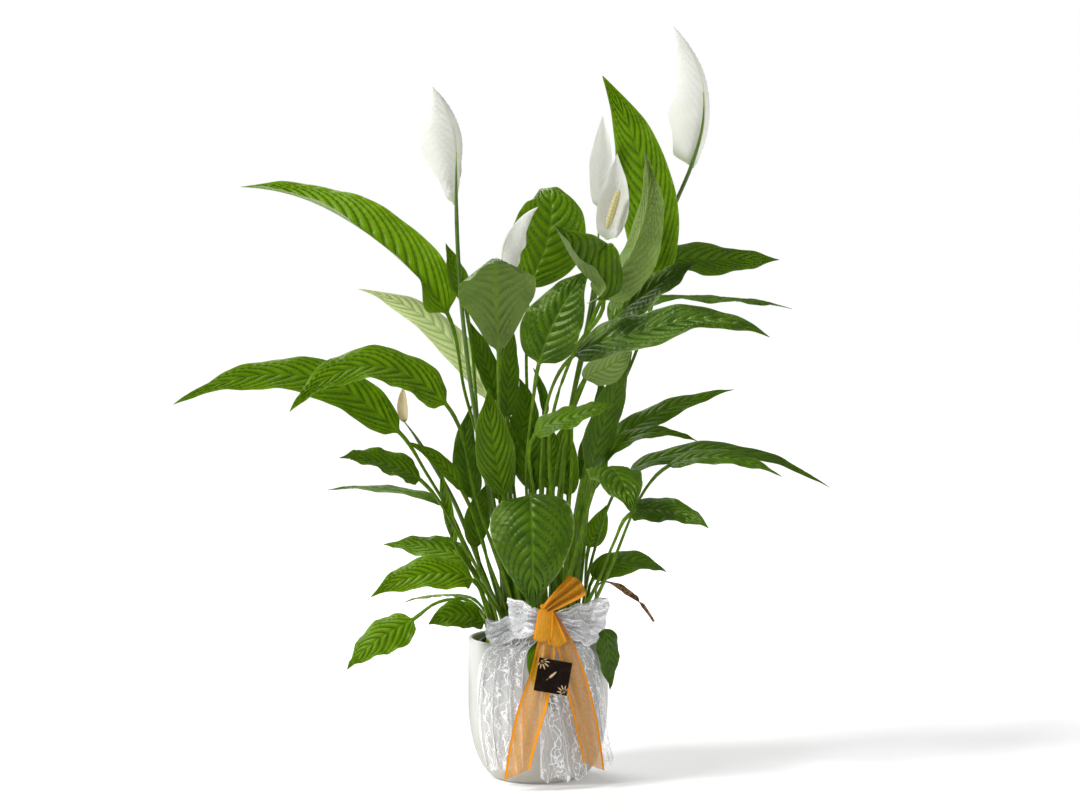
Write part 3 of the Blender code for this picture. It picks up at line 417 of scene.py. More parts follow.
# Young leaves and shoots among the others, as rows of the first kind.
YOUNG_LEAVES = {
    "young_rolled_left": (1.35, 0.4, (-26, -52), [(-60, -54, 70)],
        [(-95, -50, 123), (-108, -50, 170), (-112, -50, 217)], 20, 50, (0.4, -0.8, 0.3)),
    "young_left": (0.35, 0.42, (-30, -20), [(-55, -28, 70)],
        [(-72, -30, 117), (-70, -30, 155), (-60, -32, 191)], 30, 10, (0.3, -0.9, 0.2)),
    "young_low_left": (0.6, 0.4, (-46, -22), [(-72, -22, 80)],
        [(-93, -20, 115), (-107, -20, 124), (-121, -20, 128)], 14, 10, (0, -0.6, 0.8)),
    "young_pointed_left": (0.45, 0.4, (-30, -38), [(-62, -55, 120)],
        [(-87, -60, 187), (-115, -62, 222), (-151, -64, 243)], 19, 15, (0.1, -0.7, 0.6)),
    "young_middle": (0.3, 0.4, (2, 12), [(4, 26, 150)],
        [(8, 30, 266), (2, 30, 300), (-6, 30, 324)], 14, 35, (0.5, -0.8, 0.1)),
    "young_inner": (0.3, 0.4, (-6, 10), [(-10, 16, 120)],
        [(-12, 20, 225), (-26, 20, 252), (-35, 20, 270)], 16, 25, (0.4, -0.8, 0.3)),
    "young_tall_left": (0.3, 0.4, (-10, 28), [(-30, 32, 160)],
        [(-48, 30, 284), (-64, 30, 335), (-82, 30, 380)], 27, 15, (0.4, -0.9, 0.1)),
    "young_silver_right": (1, 0.4, (30, -34), [(38, -56, 200)],
        [(53, -62, 314), (82, -66, 330), (108, -66, 350)], 36, -10, (0, 0.9, 0.4)),
    "young_right_stem": (0.15, 0.4, (34, 12), [(46, 6, 120)],
        [(60, 0, 204), (73, 0, 262), (70, 2, 318)], 30, 15, (0.5, -0.8, 0.1)),
    "young_back_right": (0.55, 0.4, (20, 40), [(30, 48, 110)],
        [(36, 50, 170), (30, 50, 222), (36, 50, 262)], 36, 10, (-0.3, -0.9, 0.1)),
    "young_back_left": (0.45, 0.4, (-20, 40), [(-26, 50, 150)],
        [(-30, 52, 225), (-16, 52, 262), (-22, 52, 310)], 34, 10, (0.3, -0.9, 0.1)),
    "young_behind_left": (0.15, 0.4, (-36, 36), [(-42, 48, 90)],
        [(-40, 50, 163), (-46, 50, 199), (-38, 50, 250)], 38, 10, (0.2, -0.9, 0.1)),
    "young_behind_middle": (0.2, 0.4, (-4, 52), [(-6, 54, 100)],
        [(-4, 55, 175), (-10, 55, 217), (0, 56, 268)], 40, 10, (-0.1, -0.9, 0.1)),
    "young_behind_right": (0.3, 0.4, (44, 34), [(54, 46, 100)],
        [(61, 50, 175), (66, 50, 217), (74, 50, 276)], 38, 10, (-0.3, -0.9, 0.1)),
    "young_high_left": (0.55, 0.35, (-30, 22), [(-66, 22, 220)],
        [(-86, 20, 402), (-98, 20, 440), (-108, 20, 470)], 26, 15, (0.5, -0.8, 0.2)),
}

STEM_GAP = 0.0015
PETIOLE_RADIUS = 0.0025
PETIOLE_NECK_RADIUS = 0.0018
SHEATH_SPREAD = 1.5
MIDRIB_DEPTH = 0.0015
MIDRIB_GROOVE = 0.0005
BLADE_THICKNESS = 0.0005
BLADE_TIP_RADIUS = 0.0003
PUFF = 0.055
WAVE = 0.085
DROOP = 0.10
VEIN_REACH = (1.2, 1.2)
VEINS_LEAST = 6
VEIN_SPACING = 0.030
VEIN_SLANT_MOST = 0.17
PETIOLE_ROW = 0.009
BLADE_ROW = 0.0018
COLLAR_SWELL = 0.0006
ROOT_SWELL = 0.0012

LEAF_DEEP = (0.027, 0.074, 0.001, 1)
LEAF_FRESH = (0.19, 0.37, 0.002, 1)
LEAF_SHINE = (0.75, 1.0, 0.35, 1)
LEAF_PALE = (0.62, 0.72, 0.32, 1)
LEAF_GROOVE_SHADE = (0.018, 0.050, 0.001, 1)
LEAF_VEIN = (0.17, 0.30, 0.02, 1)
LEAF_UNDER = (0.115, 0.175, 0.035, 1)
LEAF_UNDER_FRESH = (0.30, 0.42, 0.12, 1)
PETIOLE_GREEN = (0.075, 0.15, 0.004, 1)
PETIOLE_PALE = (0.16, 0.25, 0.022, 1)
LEAF_GLOW = (0.40, 0.62, 0.01, 1)


def over_soil(point):
    return Vector((point[0] / 1000, point[1] / 1000, SOIL_TOP + point[2] / 1000))


def over_rim(point):
    bearing, out, height = point
    angle = math.radians(bearing)
    reach = POT_RADIUS + out / 1000
    return Vector((reach * math.cos(angle), reach * math.sin(angle), POT_HEIGHT + height / 1000))


def on_soil(root):
    return Vector((root[0] / 1000, root[1] / 1000, SOIL_TOP + STEM_GAP))


class Path:
    """A smooth curve through knots, leaving the first one in a given direction, read by its length."""

    STEPS = 24

    def __init__(self, knots, leaving):
        ways = [Vector(leaving).normalized()]
        for before, here, after in zip(knots, knots[1:], knots[2:]):
            ways.append(((here - before).normalized() + (after - here).normalized()).normalized())
        last = (knots[-1] - knots[-2]).normalized()
        ways.append((2 * last - ways[-1]).normalized())
        self.points = [knots[0]]
        self.lengths = [0.0]
        self.knot_lengths = [0.0]
        for start, end, away, into in zip(knots, knots[1:], ways, ways[1:]):
            pull = (end - start).length / 3
            run = interpolate_bezier(start, start + away * pull, end - into * pull, end, self.STEPS + 1)
            for point in run[1:]:
                self.lengths.append(self.lengths[-1] + (point - self.points[-1]).length)
                self.points.append(point)
            self.knot_lengths.append(self.lengths[-1])

    def at(self, length):
        """The point and the direction at a length along the curve."""
        k = 0
        while k < len(self.lengths) - 2 and self.lengths[k + 1] < length:
            k += 1
        step = self.points[k + 1] - self.points[k]
        share = (length - self.lengths[k]) / (self.lengths[k + 1] - self.lengths[k])
        before = self.points[k] - self.points[k - 1] if k > 0 else step
        after = self.points[k + 2] - self.points[k + 1] if k + 2 < len(self.points) else step
        way = (before + step).lerp(step + after, share).normalized()
        return self.points[k] + step * share, way


def ease(share):
    share = min(max(share, 0.0), 1.0)
    return share * share * (3 - 2 * share)


def blade_outline(u, broadest):
    """Half of a blade's width at u from collar to tip, as a share of the greatest half."""
    u = min(max(u, 0.0), 1.0)
    share = u ** (math.log(0.5) / math.log(broadest))
    return max(math.sin(math.pi * share), 0.0) ** 0.85 * (1 - 0.3 * ease((u - 0.7) / 0.3))


def skin(name, rows, around, place, marks, finish):
    """A closed skin from a grid rolled into a tube and closed at both ends. place(k) gives row k's
    function from a step round it to a point. marks(k, j, below) gives two pairs of numbers for its
    surface, where below is true on the half of the section that faces down."""
    bm = bmesh.new()
    bmesh.ops.create_grid(bm, x_segments=around, y_segments=rows - 1, size=1)
    steps = {}
    row_places = [place(k) for k in range(rows)]
    for vertex in bm.verts:
        j = round((vertex.co.x + 1) / 2 * around)
        k = round((vertex.co.y + 1) / 2 * (rows - 1))
        steps[vertex] = (k, j)
        vertex.co = row_places[k](j % around)
    across_map = bm.loops.layers.uv.new("across")
    along_map = bm.loops.layers.uv.new("along")
    for face in bm.faces:
        below = max(steps[loop.vert][1] for loop in face.loops) > around / 2
        for loop in face.loops:
            across, along = marks(*steps[loop.vert], below)
            loop[across_map].uv = across
            loop[along_map].uv = along
    bmesh.ops.remove_doubles(bm, verts=bm.verts, dist=1e-6)
    bmesh.ops.holes_fill(bm, edges=[edge for edge in bm.edges if edge.is_boundary], sides=0)
    bmesh.ops.recalc_face_normals(bm, faces=bm.faces)
    return keep_mesh(name, bm, finish, 65)


def leaf(name, tone_and_light, broadest, knots, collar, width, faces, fold, finish):
    """One leaf, petiole to tip. knots run from the root to the tip and collar is the knot where the
    blade starts. Row by row, a round petiole section turns into the blade's thin lens."""
    draw = random.Random(name)
    path = Path(knots, (0, 0, 1))
    petiole_length = path.knot_lengths[collar]
    blade_length = path.knot_lengths[-1] - petiole_length
    petiole_rows = max(8, round(petiole_length / PETIOLE_ROW))
    blade_rows = max(70, min(130, round(blade_length / BLADE_ROW)))
    half_around = 26 if width > 0.045 else 20
    veins = round(VEINS_LEAST + blade_length / VEIN_SPACING)
    slant = min(width / 2 / blade_length, VEIN_SLANT_MOST)
    inwards = ((knots[0] - knots[-1]) * Vector((1, 1, 0))).normalized()
    phases = [draw.uniform(0, 2 * math.pi) for _ in range(4)]
    waves = draw.uniform(2.2, 3.6)
    face, tip_face = Vector(faces[0]), Vector(faces[-1])
    folds = fold if isinstance(fold, tuple) else (fold, fold)

    def vein_at(u, v):
        return veins * (u - slant * (VEIN_REACH[0] * abs(v) + VEIN_REACH[1] * abs(v) ** 2.6))

    def across(j):
        share = 1 - 2 * j / half_around if j <= half_around else 2 * (j - half_around) / half_around - 1
        return math.copysign(abs(share) ** 1.45, share)

    def place(k):
        u = (k - petiole_rows) / blade_rows
        if u < 0:
            share = k / petiole_rows
            length = petiole_length * share
            up = inwards.lerp(face, ease((share - 0.4) / 0.6))
            radius = PETIOLE_RADIUS + (PETIOLE_NECK_RADIUS - PETIOLE_RADIUS) * ease(share)
            radius += COLLAR_SWELL * ease((share - 0.86) / 0.08) + ROOT_SWELL * (1 - ease(share / 0.12))
            opened = 0.0
        else:
            length = petiole_length + blade_length * u
            up = face.lerp(tip_face, ease((u - 0.2) / 0.7))
            radius = (PETIOLE_NECK_RADIUS + COLLAR_SWELL) * (1 - u) + BLADE_TIP_RADIUS * u
            opened = ease(u / 0.045)
        u = max(u, 0.0)
        point, way = path.at(length)
        up = (up - way * up.dot(way)).normalized()
        side = way.cross(up)
        half = width / 2 * blade_outline(u, broadest) + radius * 0.5
        rises = [math.radians(turn) * ease(u / 0.15) for turn in folds]
        sheath = 1 + SHEATH_SPREAD * (1 - ease((k / petiole_rows - 0.2) / 0.35)) if opened == 0 else 1
        swell = ease(u / 0.12) * (1 - ease((u - 0.85) / 0.15))

        def spot(j):
            angle = math.pi * j / half_around
            v = across(j)
            size = abs(v)
            rise = rises[0 if v < 0 else 1]
            puff = abs(math.sin(math.pi * vein_at(u, v))) ** 0.8 - 0.5
            puff *= PUFF * min(width, 0.06) * swell * min(size / 0.12, 1) * (1 - size**4)
            turn = 2 * math.pi * waves * u + phases[0 if v < 0 else 1]
            wave = WAVE * width / 2 * swell * size**2.4
            wave *= math.sin(turn) + 0.2 * math.sin(2.7 * turn + phases[2])
            droop = DROOP * half * size**2
            middle = size * half * math.sin(rise) + puff + wave - droop
            near_rib = math.exp(-((size * half / (radius * 0.9)) ** 2))
            if j <= half_around:
                surface = BLADE_THICKNESS / 2 * (1 - size**6) - MIDRIB_GROOVE * near_rib * (1 - u)
            else:
                surface = -BLADE_THICKNESS / 2 * (1 - size**6) - MIDRIB_DEPTH * near_rib * (1 - u) ** 0.8
            x = radius * sheath * math.cos(angle) * (1 - opened) + v * half * math.cos(rise) * opened
            channel = 0.45 * max(math.sin(angle), 0) ** 3 if k < petiole_rows else 0.0
            z = radius * (math.sin(angle) - channel) * (1 - opened) + (middle + surface) * opened
            return point + side * x + up * z

        return spot

    def marks(k, j, below):
        u = (k - petiole_rows) / blade_rows
        v = across(j)
        return (v + (4 if below else 0), vein_at(u, v)), (u if u >= 0 else k / petiole_rows - 1, tone_and_light)

    return skin(name, petiole_rows + blade_rows + 1, 2 * half_around, place, marks, finish)


def leaf_marks_group():
    """Where a point is on a leaf. Below: 1 under the blade. Blade: 1 past the collar. Vein: 1 on the
    side veins. GrooveShade: painted shade, strongest on the side veins and fading away from them.
    Fine: 0 to 1 between finer veins. Rib: 1 on the midrib. Edge: 1 at the margin. Along: -1 root,
    0 collar, 1 tip. ToneAndLight: 0 deep, 1 fresh, 2 pale, partly painted light."""
    tree = bpy.data.node_groups.new("leaf_marks", "ShaderNodeTree")
    for name in ("Below", "Blade", "Vein", "GrooveShade", "Fine", "Rib", "Edge", "Along", "ToneAndLight"):
        tree.interface.new_socket(name, in_out="OUTPUT", socket_type="NodeSocketFloat")
    uv = new_node(tree, "ShaderNodeUVMap", uv_map="across")
    parts = new_node(tree, "ShaderNodeSeparateXYZ", {0: uv.outputs[0]})
    along = new_node(tree, "ShaderNodeUVMap", uv_map="along")
    lengthwise = new_node(tree, "ShaderNodeSeparateXYZ", {0: along.outputs[0]})
    below = sums(tree, "GREATER_THAN", parts.outputs[0], 2.0)
    across = sums(tree, "SUBTRACT", parts.outputs[0], times(tree, below, 4.0))
    across = sums(tree, "ABSOLUTE", across)
    vein_gap = sums(tree, "PINGPONG", parts.outputs[1], 0.5)
    fine_gap = sums(tree, "PINGPONG", times(tree, parts.outputs[1], 5.0), 0.5)
    blade = between(tree, lengthwise.outputs[0], 0.0, 0.03)
    vein = times(tree, between(tree, vein_gap, 0.025, 0.085, 1.0, 0.0), blade)
    vein = times(tree, vein, between(tree, across, 0.82, 0.97, 1.0, 0.0))
    # Painted shade mask: darkest on the side veins, fading away between them.
    groove_shade = times(tree, between(tree, vein_gap, 0.02, 0.34, 1.0, 0.0), blade)
    groove_shade = times(tree, groove_shade, between(tree, across, 0.75, 1.0, 1.0, 0.3))
    out = new_node(tree, "NodeGroupOutput")
    for name, value in (
        ("Below", below),
        ("Blade", blade),
        ("Vein", vein),
        ("GrooveShade", groove_shade),
        ("Fine", times(tree, fine_gap, 2.0)),
        ("Rib", times(tree, between(tree, across, 0.015, 0.055, 1.0, 0.0), blade)),
        ("Edge", times(tree, between(tree, across, 0.965, 0.995), blade)),
        ("Along", lengthwise.outputs[0]),
        ("ToneAndLight", lengthwise.outputs[1]),
    ):
        tree.links.new(value, out.inputs[name])
    return tree


def shine_through(tree, shader, share, colour):
    """Lets a share of the light from behind through, in a colour."""
    glow = new_node(tree, "ShaderNodeBsdfTranslucent", {"Color": colour})
    shares = new_node(tree, "ShaderNodeMixShader", {0: share, 1: shader.outputs[0], 2: glow.outputs[0]})
    tree.links.new(shares.outputs[0], tree.nodes["Material Output"].inputs["Surface"])


def leaf_finish():
    """Waxy leaf: satin above with a paler midrib and sunken side veins, dull and paler below, light
    shining through. Painted shade darkens bands along the side veins on both sides.
    """
    made, tree, shader = finish_named("leaf_green", Specular_Tint=LEAF_SHINE)
    group = new_node(tree, "ShaderNodeGroup", node_tree=bpy.data.node_groups["leaf_marks"]).outputs
    place = own_place(tree)
    mottle = between(tree, cloudy(tree, place, 55, 3.0), 0.3, 0.7)
    # Partly painted light: each leaf's tone, set to how lit the leaf looks, moves its green from deep to
    # fresh, with a random mottle on top.
    tone_and_light = sums(tree, "ADD", group["ToneAndLight"], between(tree, mottle, 0.0, 1.0, -0.10, 0.10))
    upper = blend(tree, tone_and_light, LEAF_DEEP, LEAF_FRESH)
    pale = between(tree, tone_and_light, 1.2, 2.0)
    upper = blend(tree, pale, upper, LEAF_PALE)
    # Painted shade: darker bands along the sunken side veins on the upper side.
    groove_shade_share = times(tree, group["GrooveShade"], between(tree, pale, 0.0, 1.0, 0.62, 0.25))
    upper = blend(tree, groove_shade_share, upper, LEAF_GROOVE_SHADE)
    upper = blend(tree, times(tree, group["Rib"], 0.3), upper, LEAF_VEIN)
    lower = blend(tree, tone_and_light, LEAF_UNDER, LEAF_UNDER_FRESH)
    # Painted shade: darker bands beside the veins on the underside.
    lower = blend(tree, times(tree, group["GrooveShade"], 0.45), lower, LEAF_DEEP)
    lower = blend(tree, times(tree, group["Vein"], 0.5), lower, LEAF_UNDER_FRESH)
    lower = blend(tree, group["Rib"], lower, PETIOLE_PALE)
    blade = blend(tree, group["Below"], upper, lower)
    blade = blend(tree, times(tree, group["Edge"], 0.6), blade, LEAF_UNDER_FRESH)
    petiole = blend(tree, between(tree, group["Along"], -1.0, -0.55), PETIOLE_PALE, PETIOLE_GREEN)
    streaks = between(tree, cloudy(tree, place, 120, 4.0), 0.4, 0.65)
    petiole = blend(tree, times(tree, streaks, 0.4), petiole, LEAF_FRESH)
    tree.links.new(blend(tree, group["Blade"], petiole, blade), shader.inputs["Base Color"])
    tree.links.new(between(tree, tone_and_light, 0.05, 0.5, 0.55, 0.28), shader.inputs["Specular IOR Level"])
    rough = between(tree, mottle, 0.0, 1.0, 0.33, 0.42)
    rough = sums(tree, "ADD", rough, times(tree, group["Below"], 0.14))
    tree.links.new(rough, shader.inputs["Roughness"])
    height = times(tree, group["Vein"], between(tree, group["Below"], 0.0, 1.0, -1.0, 0.8))
    height = sums(tree, "ADD", height, times(tree, group["Fine"], 0.22))
    height = sums(tree, "ADD", height, times(tree, cloudy(tree, place, 420, 3.0), 0.08))
    bumped(tree, shader, height, 0.0007, 0.7)
    shine_through(tree, shader, 0.2, LEAF_GLOW)
    return made


leaf_marks_group()
leaf_green = leaf_finish()
for table, place_point in ((LEAVES, over_soil), (RIM_LEAVES, over_rim), (YOUNG_LEAVES, over_soil)):
    for name, (tone_and_light, broadest, root, petiole, blade, width, fold, *faces) in table.items():
        knots = [on_soil(root)] + [place_point(point) for point in petiole + blade]
        collar = len(petiole) + 1
        made = leaf(f"{name}_grown", tone_and_light, broadest, knots, collar, width / 1000, faces, fold, leaf_green)
        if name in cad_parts:
            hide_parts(name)


# ---- Dry leaf: a spent leaf at the right of the crown that has shrivelled to a brown, twisted strip.
DRY_KNOTS = [(66, 28, 40), (74, 36, 68), (100, 44, 60), (138, 50, 20)]
DRY_ROOT = (49, 31)
DRY_ROWS = 90
DRY_AROUND = 16
DRY_RADIUS = 0.0011
DRY_HALF = 0.0042

DRY_DARK = (0.075, 0.030, 0.012, 1)
DRY_TAN = (0.34, 0.19, 0.085, 1)


def dry_leaf_finish():
    made, tree, shader = finish_named("dry_leaf", Roughness=0.8, Specular_IOR_Level=0.3)
    place = own_place(tree)
    patches = between(tree, cloudy(tree, place, 180, 5.0), 0.38, 0.62)
    tree.links.new(blend(tree, patches, DRY_DARK, DRY_TAN), shader.inputs["Base Color"])
    bumped(tree, shader, cloudy(tree, place, 700, 5.0), 0.0008)
    return made


def dry_leaf():
    path = Path([on_soil(DRY_ROOT)] + [over_soil(knot) for knot in DRY_KNOTS], (0, 0, 1))

    def place(k):
        share = k / (DRY_ROWS - 1)
        point, way = path.at(path.lengths[-1] * share)
        flat = ease((share - 0.52) / 0.1) * (1 - 0.85 * ease((share - 0.75) / 0.25))
        turn = 9 * share + 0.6 * math.sin(23 * share)
        side = way.cross(Vector((0.3, -0.8, 0.5))).normalized()
        up = side.cross(way)
        half = DRY_RADIUS + (DRY_HALF - DRY_RADIUS) * flat * (0.8 + 0.2 * math.sin(40 * share))

        def spot(j):
            angle = 2 * math.pi * j / DRY_AROUND
            crumple = 1 + 0.25 * flat * math.sin(3 * angle + 30 * share)
            x = half * math.cos(angle) * crumple
            z = DRY_RADIUS * (1 - 0.75 * flat) * math.sin(angle) + flat * 0.35 * x * x / half
            return point + side * (x * math.cos(turn) - z * math.sin(turn)) + up * (
                x * math.sin(turn) + z * math.cos(turn)
            )

        return spot

    def marks(k, j, below):
        return (j / DRY_AROUND, 0), (k / DRY_ROWS, 0)

    return skin("leaf_dry_right_shrivelled", DRY_ROWS, DRY_AROUND, place, marks, dry_leaf_finish())


dried = dry_leaf()
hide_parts("leaf_dry_right")


# ---- Flowers: each a round green stalk, a white spathe (one hooded leaf, thin enough to glow) and
# a knobbly spadix of tiny flowers. The faded one has only a small cream spathe left.
# A row is: root, stalk points, spathe points from base to tip, where it is broadest, its width laid
# flat, the way its inside faces, degrees that each half turns in, and the spadix from base to top.
# Lengths are in millimetres and heights are over the soil.
FLOWERS = {
    "flower_tall_left": ((-34, -14),
        [(-60, -16, 195), (-80, -18, 320), (-92, -20, 450), (-94, -20, 575)],
        [(-96, -13, 514), (-95, -13, 550), (-98, -12, 600), (-122, -10, 650)],
        0.58, 84, (-0.75, 0.66, 0), 43, ((-92, 6, 545), (-96, 10, 590))),
    "flower_top_right": ((40, 45),
        [(80, 76, 250), (130, 86, 420), (162, 90, 512), (184, 90, 565), (196, 91, 610), (197, 94, 650)],
        [(184, 96, 560), (197, 98, 610), (197, 100, 658), (181, 101, 700), (161, 100, 729)],
        0.36, 86, (-0.75, 0.66, 0), 43, ((176, 112, 585), (180, 116, 635))),
    "flower_middle": ((20, 32),
        [(34, 26, 250), (62, 16, 380), (76, 6, 466)],
        [(80, 10, 474), (88, 12, 515), (92, 10, 574)],
        0.38, 42, (0, -1, 0.1), 28, ((80, -2, 486), (94, -2, 532))),
    "flower_behind": ((14, 46),
        [(35, 58, 250), (66, 52, 420), (72, 48, 500)],
        [(72, 48, 512), (72, 48, 560), (76, 46, 620)],
        0.4, 36, (0.3, -0.9, 0.1), 30, None),
    "flower_side": ((-18, 36),
        [(-40, 32, 240), (-42, 30, 380), (-40, 28, 430)],
        [(-42, 24, 438), (-38, 22, 470), (-18, 20, 500), (0, 20, 512)],
        0.36, 50, (0.7, 0.5, -0.5), 42, ((-30, 22, 442), (-24, 20, 474))),
}
FADED_ROOT = (-50, 2)
FADED_STALK = [(-90, 0, 150), (-140, -2, 240)]
FADED_BLADE = [(-156, -2, 262), (-158, -2, 282), (-156, -2, 305)]
FADED_WIDTH = 0.014

STALK_RADIUS = 0.0030
STALK_TOP_RADIUS = 0.0023
STALK_AROUND = 16
SPATHE_ROWS = 110
SPATHE_HALF_AROUND = 24
SPATHE_THICKNESS = 0.0006
SPATHE_VEINS = 13
SPATHE_PUFF = 0.022
SPATHE_WAVE = 0.09
STALK_ROW = 0.006
STALK_FOOT_SWELL = 0.001
SPADIX_RADIUS = 0.0048
SPADIX_KNOB = 0.0011
SPADIX_RINGS = 18

SPATHE_WHITE = (0.90, 0.90, 0.86, 1)
SPATHE_SHADE = (0.74, 0.76, 0.66, 1)
SPATHE_GREEN = (0.34, 0.47, 0.14, 1)
SPADIX_CREAM = (0.66, 0.58, 0.30, 1)
SPADIX_GRAIN_AND_PIT_SHADE = (0.36, 0.30, 0.09, 1)
FADED_CREAM = (0.72, 0.62, 0.38, 1)
FADED_BROWN = (0.30, 0.17, 0.07, 1)


def stalk(name, knots, finish):
    """A round stalk that tapers a little, stands on a wider foot and ends in a thin stub."""
    path = Path(knots, (0, 0, 1))
    rows = round(path.lengths[-1] / STALK_ROW)

    def place(k):
        share = k / (rows - 1)
        point, way = path.at(path.lengths[-1] * share)
        side = way.cross(Vector((0.2, 1, 0.1))).normalized()
        up = side.cross(way)
        radius = STALK_RADIUS + (STALK_TOP_RADIUS - STALK_RADIUS) * share
        radius += STALK_FOOT_SWELL * (1 - ease(share / 0.08))
        radius *= 1 - 0.65 * ease((share - 0.86) / 0.14)

        def spot(j):
            angle = 2 * math.pi * j / STALK_AROUND
            return point + side * (radius * math.cos(angle)) + up * (radius * math.sin(angle))

        return spot

    def marks(k, j, below):
        return (j / STALK_AROUND, 0), (k / rows - 1, 0.4)

    return skin(name, rows, STALK_AROUND, place, marks, finish)


def spathe(name, knots, broadest, width, face, turn_in, finish):
    """A spathe: round where it leaves the stalk, then a thin hollow sheet with a drawn-out tip."""
    draw = random.Random(name)
    path = Path(knots, knots[1] - knots[0])
    length = path.lengths[-1]
    around = 2 * SPATHE_HALF_AROUND
    phases = [draw.uniform(0, 2 * math.pi) for _ in range(2)]
    face = Vector(face)

    def vein_at(u, v):
        return SPATHE_VEINS * (u - width / 2 / length * (0.9 * abs(v) + 1.1 * abs(v) ** 2.5))

    def across(j):
        if j <= SPATHE_HALF_AROUND:
            return 1 - 2 * j / SPATHE_HALF_AROUND
        return 2 * (j - SPATHE_HALF_AROUND) / SPATHE_HALF_AROUND - 1

    def place(k):
        u = k / (SPATHE_ROWS - 1)
        point, way = path.at(length * u)
        up = (face - way * face.dot(way)).normalized()
        side = way.cross(up)
        radius = STALK_TOP_RADIUS * (1 - u) + BLADE_TIP_RADIUS * u
        half = width / 2 * blade_outline(0.05 + 0.95 * u, broadest) + radius * 0.4
        arc = 2 * math.radians(turn_in)
        opened = ease(u / 0.05)
        swell = ease(u / 0.15) * (1 - ease((u - 0.8) / 0.2))

        def spot(j):
            angle = math.pi * j / SPATHE_HALF_AROUND
            v = across(j)
            size = abs(v)
            edge = half * math.sin(arc * v) / arc
            curl = half * (1 - math.cos(arc * v)) / arc
            puff = SPATHE_PUFF * width * swell * (abs(math.sin(math.pi * vein_at(u, v))) - 0.5)
            puff *= min(size / 0.2, 1)
            wave = SPATHE_WAVE * half * size**3 * math.sin(15 * u + phases[0 if v < 0 else 1])
            near_rib = math.exp(-((size * half / 0.0012) ** 2)) * (1 - u)
            wall = SPATHE_THICKNESS / 2 * (1 - size**6)
            z = wall - 0.0002 * near_rib if j <= SPATHE_HALF_AROUND else -wall - 0.0014 * near_rib
            z = radius * math.sin(angle) * (1 - opened) + (curl + puff * (1 - size**4) + wave + z) * opened
            x = radius * math.cos(angle) * (1 - opened) + edge * opened
            return point + side * x + up * z

        return spot

    def marks(k, j, below):
        u = k / (SPATHE_ROWS - 1)
        return (across(j) + (4 if below else 0), vein_at(u, across(j))), (u, 0.5)

    return skin(name, SPATHE_ROWS, around, place, marks, finish)


def spadix(name, base, top, finish):
    """A spadix: a sphere drawn out to a club and covered with knobs in crossing spirals."""
    bm = bmesh.new()
    bmesh.ops.create_uvsphere(bm, u_segments=48, v_segments=72, radius=1)
    straight = (top - base).length / 2 - SPADIX_RADIUS
    for vertex in bm.verts:
        x, y, z = vertex.co
        turn = math.atan2(y, x)
        along = z * (straight + SPADIX_RADIUS)
        knob = math.sin(4 * turn + SPADIX_RINGS * z) * math.sin(4 * turn - SPADIX_RINGS * z)
        reach = math.sqrt(max(1 - abs(z) ** 3.2, 0)) / max(math.hypot(x, y), 1e-6)
        radius = SPADIX_RADIUS - SPADIX_KNOB * 0.5 + SPADIX_KNOB * 0.5 * knob * (1 - abs(z) ** 8)
        vertex.co = (x * reach * radius, y * reach * radius, along)
    bmesh.ops.rotate(bm, verts=bm.verts, matrix=(top - base).to_track_quat("Z", "Y").to_matrix())
    bmesh.ops.translate(bm, verts=bm.verts, vec=(base + top) / 2)
    return keep_mesh(name, bm, finish, 80)


def stalk_finish():
    """Smooth satin green stem, paler towards the soil, with faint streaks along it."""
    made, tree, shader = finish_named("stalk_green", Roughness=0.36)
    place = own_place(tree)
    along = new_node(tree, "ShaderNodeUVMap", uv_map="along")
    along = new_node(tree, "ShaderNodeSeparateXYZ", {0: along.outputs[0]}).outputs[0]
    colour = blend(tree, between(tree, along, -1.0, -0.5), PETIOLE_PALE, PETIOLE_GREEN)
    streaks = between(tree, cloudy(tree, place, 90, 4.0), 0.35, 0.7)
    colour = blend(tree, times(tree, streaks, 0.5), colour, LEAF_DEEP)
    colour = blend(tree, between(tree, along, -0.06, 0.0), colour, SPATHE_GREEN)
    tree.links.new(colour, shader.inputs["Base Color"])
    bumped(tree, shader, cloudy(tree, place, 400, 3.0), 0.0002)
    return made


def spathe_finish(name, body, shade, stain):
    """Soft white spathe: faint veins, a green foot and midrib, and light that shines through."""
    made, tree, shader = finish_named(name, Roughness=0.45, Specular_IOR_Level=0.4)
    group = new_node(tree, "ShaderNodeGroup", node_tree=bpy.data.node_groups["leaf_marks"]).outputs
    place = own_place(tree)
    soft = between(tree, cloudy(tree, place, 60, 3.0), 0.35, 0.7, 0.0, 0.25)
    colour = blend(tree, soft, body, shade)
    colour = blend(tree, times(tree, group["Vein"], 0.5), colour, shade)
    foot = between(tree, group["Along"], 0.0, 0.11, 0.8, 0.0)
    rib = times(tree, group["Rib"], between(tree, group["Along"], 0.3, 0.9, 0.9, 0.0))
    green = sums(tree, "MAXIMUM", foot, times(tree, rib, group["Below"]))
    colour = blend(tree, green, colour, stain)
    tree.links.new(colour, shader.inputs["Base Color"])
    height = sums(tree, "ADD", times(tree, group["Fine"], 0.3), cloudy(tree, place, 300, 3.0))
    bumped(tree, shader, height, 0.0003, 0.4)
    shine_through(tree, shader, 0.4, body)
    return made


